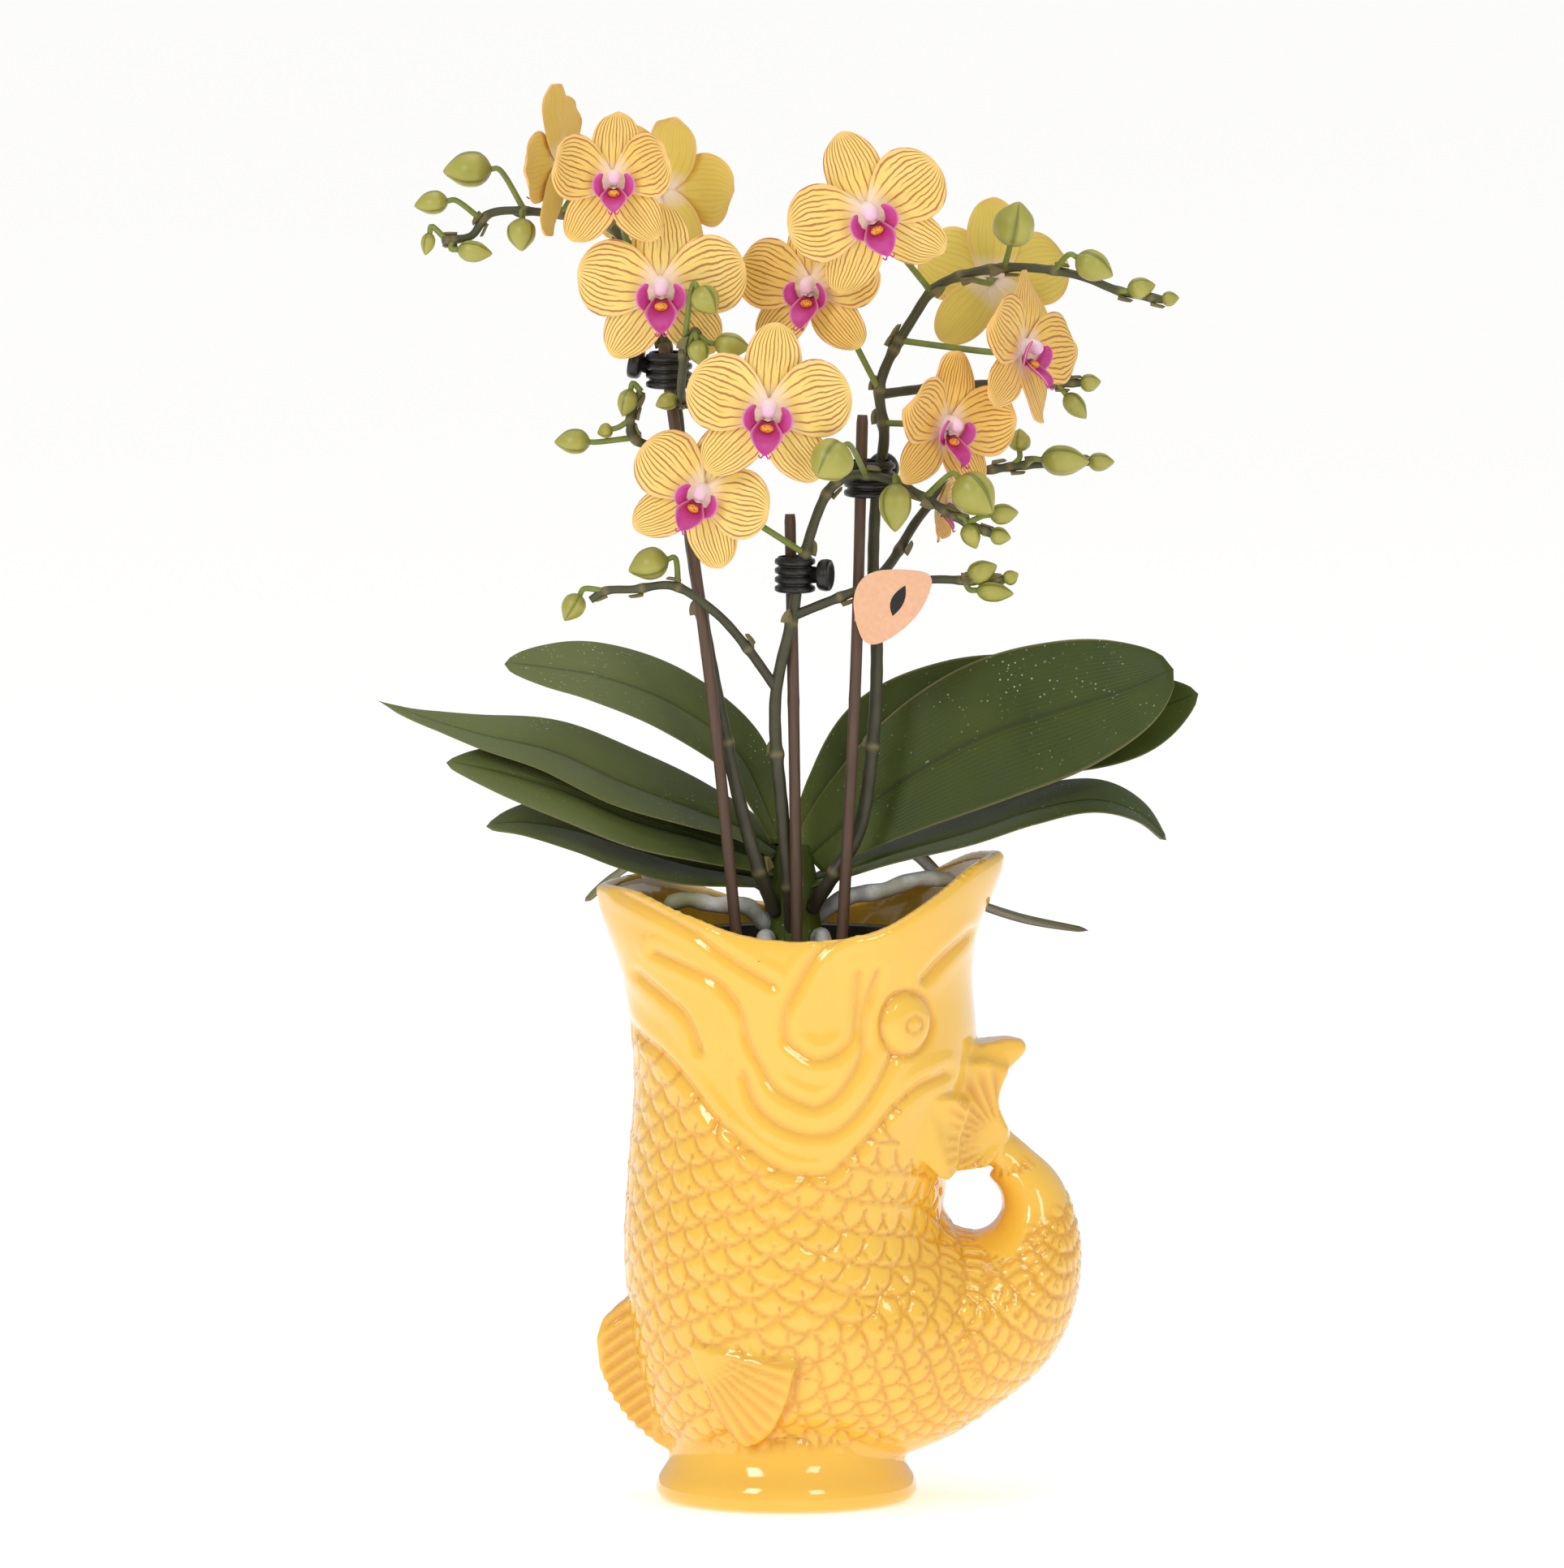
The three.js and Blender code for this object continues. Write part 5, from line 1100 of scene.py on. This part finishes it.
# ---- buds ----
# The larger buds, each on its own at the end of a stalk: plump, yellow-green and seamed where the three
# sepals meet.
for name, row in BUDS.items():
    bm = bmesh.new()
    add_bud(bm, *row[:4], 0)
    make_piece(name + "_skin", bm, [bud_skin], "bud", name)


# ---- flowers ----
# Yellow moth flowers: three narrow sepals, two broad petals over them, fine red-brown veins that fan out and
# fork, a pale throat, and a magenta lip with two upright side lobes round a white column.
TEPAL_THICKNESS = 0.9
SEPAL_SET_BACK = 1.0
# Sepals and then petals of one flower: angle, length, width, where it is widest, how far it stands forward.
TEPALS = [
    (90, 25, 16, 0.5, -SEPAL_SET_BACK), (230, 24, 15, 0.5, -SEPAL_SET_BACK),
    (310, 24, 15, 0.5, -SEPAL_SET_BACK), (18, 24, 22, 0.6, 0.2), (162, 24, 22, 0.6, 0.2),
]
# How each flower differs: how far the petals and the sepals bend forward, in mm at the tip.
CUPPED = {
    "flower_1": (15, -2), "flower_2": (3, 2), "flower_5": (4, -2), "flower_6": (4, 0), "flower_7": (2, -3),
    "flower_10": (4, 1), "flower_11": (6, 3), "flower_12": (8, 8),
}
# How orange each flower is; the ones that open last are the deepest.
WARMTH = {
    "flower_1": 0.35, "flower_2": 0.6, "flower_6": 0.4, "flower_10": 0.55, "flower_11": 0.6,
    "flower_12": 0.7, "flower_4": 0.3, "flower_7": 0.25,
}


def veins(tree, value, count, thin):
    """Thin lines along a petal, count of them across its half width."""
    swing = maths(tree, "COSINE", maths(tree, "MULTIPLY", value, math.pi * count))
    return ramp(tree, maths(tree, "ABSOLUTE", swing), thin, 1.0)


petal, tree, shader = new_material("orchid_petal")
across, reach, front, ripe = (kept(tree, name) for name in ("across", "along", "top", "warm"))
drift = noise(tree, object_place(tree), 130.0, 3.0)
waved = maths(tree, "ADD", across, ramp(tree, drift, 0.0, 1.0, -0.13, 0.13))
forked = maths(tree, "MULTIPLY", veins(tree, waved, 7.0, 0.84), ramp(tree, reach, 0.42, 0.6))
both = maths(tree, "MAXIMUM", veins(tree, waved, 3.5, 0.92), forked)
begun = maths(tree, "MULTIPLY", both, ramp(tree, reach, 0.16, 0.34))
ended = maths(tree, "MULTIPLY", begun, ramp(tree, reach, 0.9, 0.985, 1.0, 0.0))
shown = maths(tree, "MULTIPLY", ended, ramp(tree, front, 0.3, 0.7, 0.1, 0.85))
fore = blend(tree, ripe, blend(tree, drift, "f5d363", "fae493"), "eab23e")
rear = blend(tree, ripe, "ecd96c", "e8b23c")
pale = blend(tree, ramp(tree, reach, 0.08, 0.3, 0.85, 0.0), blend(tree, front, rear, fore), "fbe6dc")
margin = ramp(tree, maths(tree, "ABSOLUTE", across), 0.8, 1.0, 0.0, 0.45)
edges = maths(tree, "MAXIMUM", margin, ramp(tree, reach, 0.88, 1.0, 0.0, 0.4))
flushed = blend(tree, edges, pale, "f5be85")
tree.links.new(blend(tree, shown, flushed, "a34a2c"), shader.inputs["Base Color"])
crinkle = add_node(tree, "ShaderNodeBump", {"Height": both, "Strength": 0.25, "Distance": 0.0004})
tree.links.new(crinkle.outputs["Normal"], shader.inputs["Normal"])
shader.inputs["Roughness"].default_value = 0.55
shader.inputs["Sheen Weight"].default_value = 0.15
shader.inputs["Subsurface Weight"].default_value = 0.2
shader.inputs["Subsurface Radius"].default_value = (0.003, 0.002, 0.001)

lip, tree, shader = new_material("orchid_lip")
flush = blend(tree, ramp(tree, kept(tree, "along"), 0.05, 0.6), "a8173a", "cc4aa6")
striped = blend(tree, noise(tree, object_place(tree), 420.0, 4.0), flush, "b81c64")
margin = ramp(tree, maths(tree, "ABSOLUTE", kept(tree, "across")), 0.78, 0.98, 0.0, 0.75)
tree.links.new(blend(tree, margin, striped, "e79ac4"), shader.inputs["Base Color"])
shader.inputs["Roughness"].default_value = 0.4

column_white, tree, shader = new_material("orchid_column")
blush = ramp(tree, kept(tree, "along"), 0.5, 1.0, 0.1, 0.75)
tree.links.new(blend(tree, blush, "fbeef0", "e7a3c8"), shader.inputs["Base Color"])
shader.inputs["Roughness"].default_value = 0.4

callus, tree, shader = new_material("orchid_callus")
specks = add_node(tree, "ShaderNodeTexVoronoi", {"Vector": object_place(tree), "Scale": 1500.0})
dots = ramp(tree, specks.outputs["Distance"], 0.25, 0.4, 1.0, 0.0)
tree.links.new(blend(tree, dots, "f0a62a", "b02a22"), shader.inputs["Base Color"])
shader.inputs["Roughness"].default_value = 0.35


def add_blade(bm, path, across, width, shape, thickness, lift, slot, rows=0.6, around=48, warm=0.0):
    """Adds a petal or lobe along a path: shape is its base, widest place and point."""
    line = trace(path, rows)
    even = np.linspace(0, 1, len(line))
    u = 1 - (1 - even) ** 1.7
    line = np.stack([np.interp(u, even, line[:, k]) for k in range(3)], axis=1)
    rings, fields = blade(line, across, width / 2 * blade_half(u, *shape), thickness, lift, around)
    fields["along"] = u[:, None] * np.ones_like(fields["across"])
    loft(bm, capped(rings), slot, warm=warm, **capped_fields(fields))


for name, (middle, turn, tip, roll, size, _, _) in FLOWERS.items():
    chance = np.random.default_rng(int(name.split("_")[1]) + 40)
    petal_bend, sepal_bend = CUPPED.get(name, (2, -2))
    bm = bmesh.new()
    for k, (angle, length, width, widest, forward) in enumerate(TEPALS):
        slope = math.radians(angle + chance.normal(0, 2.5))
        out = np.array([math.cos(slope), math.sin(slope), 0.0])
        sideways = np.array([-out[1], out[0], 0.0])
        broad = k > 2
        bend = (petal_bend if broad else sepal_bend) + chance.normal(0, 1.0)
        length = length * chance.uniform(0.96, 1.03)
        path = []
        for u in (0.03, 0.25, 0.5, 0.75, 1):
            rise = forward + 1.6 * math.sin(math.pi * u) + bend * u * u
            path.append(out * length * u * (1 - 0.012 * abs(bend) * u) + [0, 0, rise])
        waves, tilt = chance.uniform(0, 6.28), chance.normal(0, 0.06)

        def lift(u, s, waves=waves, tilt=tilt, w=width, broad=broad):
            """A soft ridge down the middle, with the margins falling back and waving a little."""
            ridge = -0.5 * np.exp(-((s / 0.1) ** 2)) * (1 - u)
            roll_back = (0.06 if broad else 0.09) * w * s * s * (0.3 - u)
            ripple = 0.5 * s * s * np.sin(9 * u + 2.5 * s + waves) + 0.12 * np.sin(22 * s + waves) * u
            return ridge + roll_back + ripple + tilt * w * s * u

        add_blade(bm, path, sideways, width, (0.24 if broad else 0.4, widest, 0.5), TEPAL_THICKNESS, lift, 0,
                  warm=WARMTH.get(name, 0.15))

    for side in (-1, 1):
        lobe = [
            (side * 1.6, -4.6, 2.4), (side * 4.4, -3.2, 4.4), (side * 5.0, -0.4, 5.6),
            (side * 3.6, 2.2, 6.0),
        ]
        add_blade(bm, lobe, (side * 0.75, -0.1, 0.65), 4.6, (0.5, 0.5, 0.5), 0.7,
                  lambda u, s, side=side: side * 0.5 * s * s, 1, 0.5, 24)
    middle_lobe = [(0, -3.2, 1.6), (0, -5.6, 4.4), (0, -7.4, 7.2), (0, -9.2, 9.4), (0, -11.2, 10.6)]
    add_blade(bm, middle_lobe, (1, 0, 0), 9.0, (0.4, 0.5, 0.7), 0.9,
              lambda u, s: 1.8 * (1 - 0.7 * u) * s * s, 1, 0.5, 36)
    for side in (-1, 1):
        curl = [(side * 0.4, -11.0, 10.4), (side * 1.1, -11.8, 11.2), (side * 1.7, -11.0, 11.8)]
        loft(bm, tube(trace(curl, 0.3), 0.22, 8), 1, along=0.9, across=0.0, top=1.0)
    post = trace([(0, 1.6, -0.4), (0, 1.9, 2.2), (0, 1.2, 4.6), (0, -0.6, 6.6)], 0.3)
    u = np.linspace(0, 1, len(post))
    radii = along([(0, 2.6), (0.3, 2.0), (0.6, 2.2), (0.85, 1.9), (0.96, 1.2), (1, 0.4)], u)
    loft(bm, tube(post, radii, 24), 2, along=ends(u), across=0.0, top=1.0)
    bump = bmesh.ops.create_uvsphere(bm, u_segments=20, v_segments=12, radius=1.0)["verts"]
    bmesh.ops.scale(bm, vec=(1.9, 1.2, 1.3), verts=bump)
    bmesh.ops.translate(bm, vec=(0, -4.2, 4.8), verts=bump)
    for face in {face for v in bump for face in v.link_faces}:
        face.material_index = 3
        face.smooth = True

    right, up, facing = flower_frame(turn, tip, roll)
    place = Matrix([right, up, facing]).transposed().to_4x4()
    place.translation = Vector(np.array(middle) + LIFT)
    bmesh.ops.scale(bm, vec=(size, size, size), verts=bm.verts)
    bmesh.ops.transform(bm, matrix=place, verts=bm.verts)
    make_piece(name + "_bloom", bm, [petal, lip, column_white, callus], "petal", name)


# ---- sticks ----
# Thin bamboo sticks, stained brown, with a fine grain along them and one low node. They are pushed into the
# bark in front of the crown and lean back to the spikes.
STICK_RADIUS = 1.6
STICK_DEPTH = 45.0
STICK_STEP = 2.0
NODE_PLACE = 118
STICKS = {
    "stick_left": [(-13, -15, 0), (-21, -13, 78), (-34, -10, 171.5)],
    "stick_middle": [(3, -16, 0), (2, -8.5, 70), (1, -2.5, 123.5)],
    "stick_right": [(15, -17, 0), (19, -9, 76), (21, -2.5, 151)],
}

bamboo, tree, shader = new_material("stained_bamboo")
stretch = add_node(tree, "ShaderNodeMapping", {"Vector": object_place(tree), "Scale": (900.0, 900.0, 28.0)})
fibre = add_grain(tree, shader, stretch.outputs["Vector"], 1.0, 4.0, 0.5, 0.0003)
tree.links.new(blend(tree, fibre, "3f2d21", "6a4f3b"), shader.inputs["Base Color"])
shader.inputs["Roughness"].default_value = 0.5

stick_lines = {}
for name, points in STICKS.items():
    foot, middle = (np.array(point, float) for point in points[:2])
    down = foot + unit(foot - middle) * STICK_DEPTH
    line = trace(raised([tuple(down)] + points), STICK_STEP)
    stick_lines[name] = line
    run = np.arange(len(line)) * STICK_STEP
    radii = STICK_RADIUS * (1 + 0.06 * np.exp(-(((run - NODE_PLACE) / 1.6) ** 2)) + 0.02 * np.sin(run * 0.11))
    radii[0] *= 0.7
    radii[-1] *= 0.85
    bm = bmesh.new()
    loft(bm, tube(line, radii, 20), along=ends(run / run[-1]))
    make_piece(name + "_bamboo", bm, [bamboo], "stick", name)


# ---- clips ----
# Small black spring clips: a ridged barrel holds the spike to its stick, and a round dished button on its
# side opens it.
CLIP_HEIGHT = 10.0
CLIP_RIDGE_STEP = 2.5
# Each clip's stick and spike, its height above the bark, and the way its button faces.
CLIPS = {
    "clip_left": ("stick_left", "spike_left", 164, (-1, 0.2, 0.2)),
    "clip_middle": ("stick_middle", "spike_middle", 107, (1, -0.3, 0)),
    "clip_right": ("stick_right", "spike_right", 133, (0.4, 1, 0.2)),
}


def at_height(line, height):
    """The point where a line crosses a height above the bark."""
    return line[np.argmin(np.abs(line[:, 2] - BARK_TOP - height))]


def turned_to(bm, verts, heading, place):
    """Turns what was built along +Z to a heading and moves it into place."""
    turn = Vector(UP).rotation_difference(Vector(heading)).to_matrix()
    bmesh.ops.rotate(bm, cent=(0, 0, 0), matrix=turn, verts=verts)
    bmesh.ops.translate(bm, vec=Vector(place), verts=verts)


for name, (stick, spike, height, push) in CLIPS.items():
    a, b = at_height(stick_lines[stick], height), at_height(lines[spike], height)
    middle = (a + b) / 2
    radius = np.linalg.norm(a - b) / 2 + SPIKE_RADIUS + 0.8
    bm = bmesh.new()
    half_height = CLIP_HEIGHT / 2
    barrel = [(radius - 1.3, -half_height)]
    for z in np.arange(-half_height, half_height - 0.1, CLIP_RIDGE_STEP):
        barrel += [
            (radius - 0.9, z + 0.1), (radius - 0.1, z + 0.45), (radius, z + 1.1), (radius - 0.15, z + 1.7),
            (radius - 0.95, z + 2.1), (radius - 1.0, z + 2.45),
        ]
    barrel += [(radius - 1.5, half_height), (radius - 1.5, half_height - 0.6), (radius - 1.9, 0)]
    barrel += [(radius - 1.5, -half_height + 0.6), (radius - 1.3, -half_height)]
    verts = turned(bm, barrel, 40)
    bmesh.ops.translate(bm, vec=Vector(middle), verts=verts)
    heading = unit(np.array(push, float))
    button = [
        (0, -5.5), (2.4, -5.5), (2.2, -3.6), (3.9, -3.2), (4.3, -2.7), (4.5, -1.2), (4.3, -0.2), (3.9, 0),
        (3.4, -0.25), (2.4, -0.9), (0, -1.2),
    ]
    verts = turned(bm, button, 40)
    turned_to(bm, verts, heading, middle + heading * (radius + 4.6))
    make_piece(name + "_spring", bm, [plastic], "clip", name)


# ---- tag ----
# A small pick-shaped card of plain brown board. A paper strap holds it in front of the right stick, and it
# carries only a leaf mark.
CARD_THICKNESS = 0.7
CARD_FORWARD = 8
CARD_ASIDE = 9.5
TAG_HEIGHT = 101.0

card, tree, shader = new_material("brown_card")
board = blend(tree, noise(tree, object_place(tree), 700.0, 6.0), "e0a783", "f2c3a0")
tree.links.new(board, shader.inputs["Base Color"])
shader.inputs["Roughness"].default_value = 0.85
ink, tree, shader = new_material("card_ink")
shader.inputs["Base Color"].default_value = colour("1d1a1c")
shader.inputs["Roughness"].default_value = 0.7


def curve(start, bends):
    """Points along a run of curves, each given by its bend point and its end."""
    points = [start]
    for bend, end in bends:
        first = np.array(points[-1], float)
        for t in np.linspace(0, 1, 9)[1:]:
            middle = 2 * t * (1 - t) * np.array(bend)
            points.append(tuple((1 - t) ** 2 * first + middle + t * t * np.array(end)))
    return points


def plate(bm, outline, place, thickness, slot=0):
    """Adds a flat plate facing -Y over an outline of (x, z)."""
    face = bm.faces.new([bm.verts.new((place[0] + x, place[1], place[2] + z)) for x, z in outline])
    grown = bmesh.ops.extrude_face_region(bm, geom=[face])["geom"]
    far = [v for v in grown if isinstance(v, bmesh.types.BMVert)]
    bmesh.ops.translate(bm, vec=(0, thickness, 0), verts=far)
    verts = list(face.verts) + far
    faces = list({f for v in verts for f in v.link_faces})
    bmesh.ops.recalc_face_normals(bm, faces=faces)
    for f in faces:
        f.material_index = slot


outline = curve((-10.8, 1), [
    ((-10.6, 9.2), (-3, 10.2)), ((3, 10.7), (8, 9.8)), ((11.2, 9.2), (10.8, 6.4)), ((9, -2), (1, -7.6)),
    ((-3, -10.4), (-5.6, -10.4)), ((-8.4, -10.2), (-9.4, -6.4)), ((-10.7, -3), (-10.8, 1)),
])[:-1]
post = at_height(stick_lines["stick_right"], TAG_HEIGHT)
card_place = (post[0] + CARD_ASIDE, post[1] - CARD_FORWARD - CARD_THICKNESS, BARK_TOP + TAG_HEIGHT - 2)
bm = bmesh.new()
plate(bm, outline, card_place, CARD_THICKNESS)
leaf_mark = curve((-1, -3.5), [((-3.5, 1.5), (2.5, 5)), ((3.5, 0), (-1, -3.5))])[:-1]
plate(bm, leaf_mark, (card_place[0] + 1, card_place[1] - 0.04, card_place[2] + 1), 0.1, 1)
strap = [(-1.0, -2), (1.5, -2), (1.5, 2), (-1.0, 2)]
plate(bm, strap, (post[0], post[1] - CARD_FORWARD, BARK_TOP + TAG_HEIGHT - 4), 6.2)
make_piece("tag_card_paper", bm, [card, ink], "card", "tag_card")
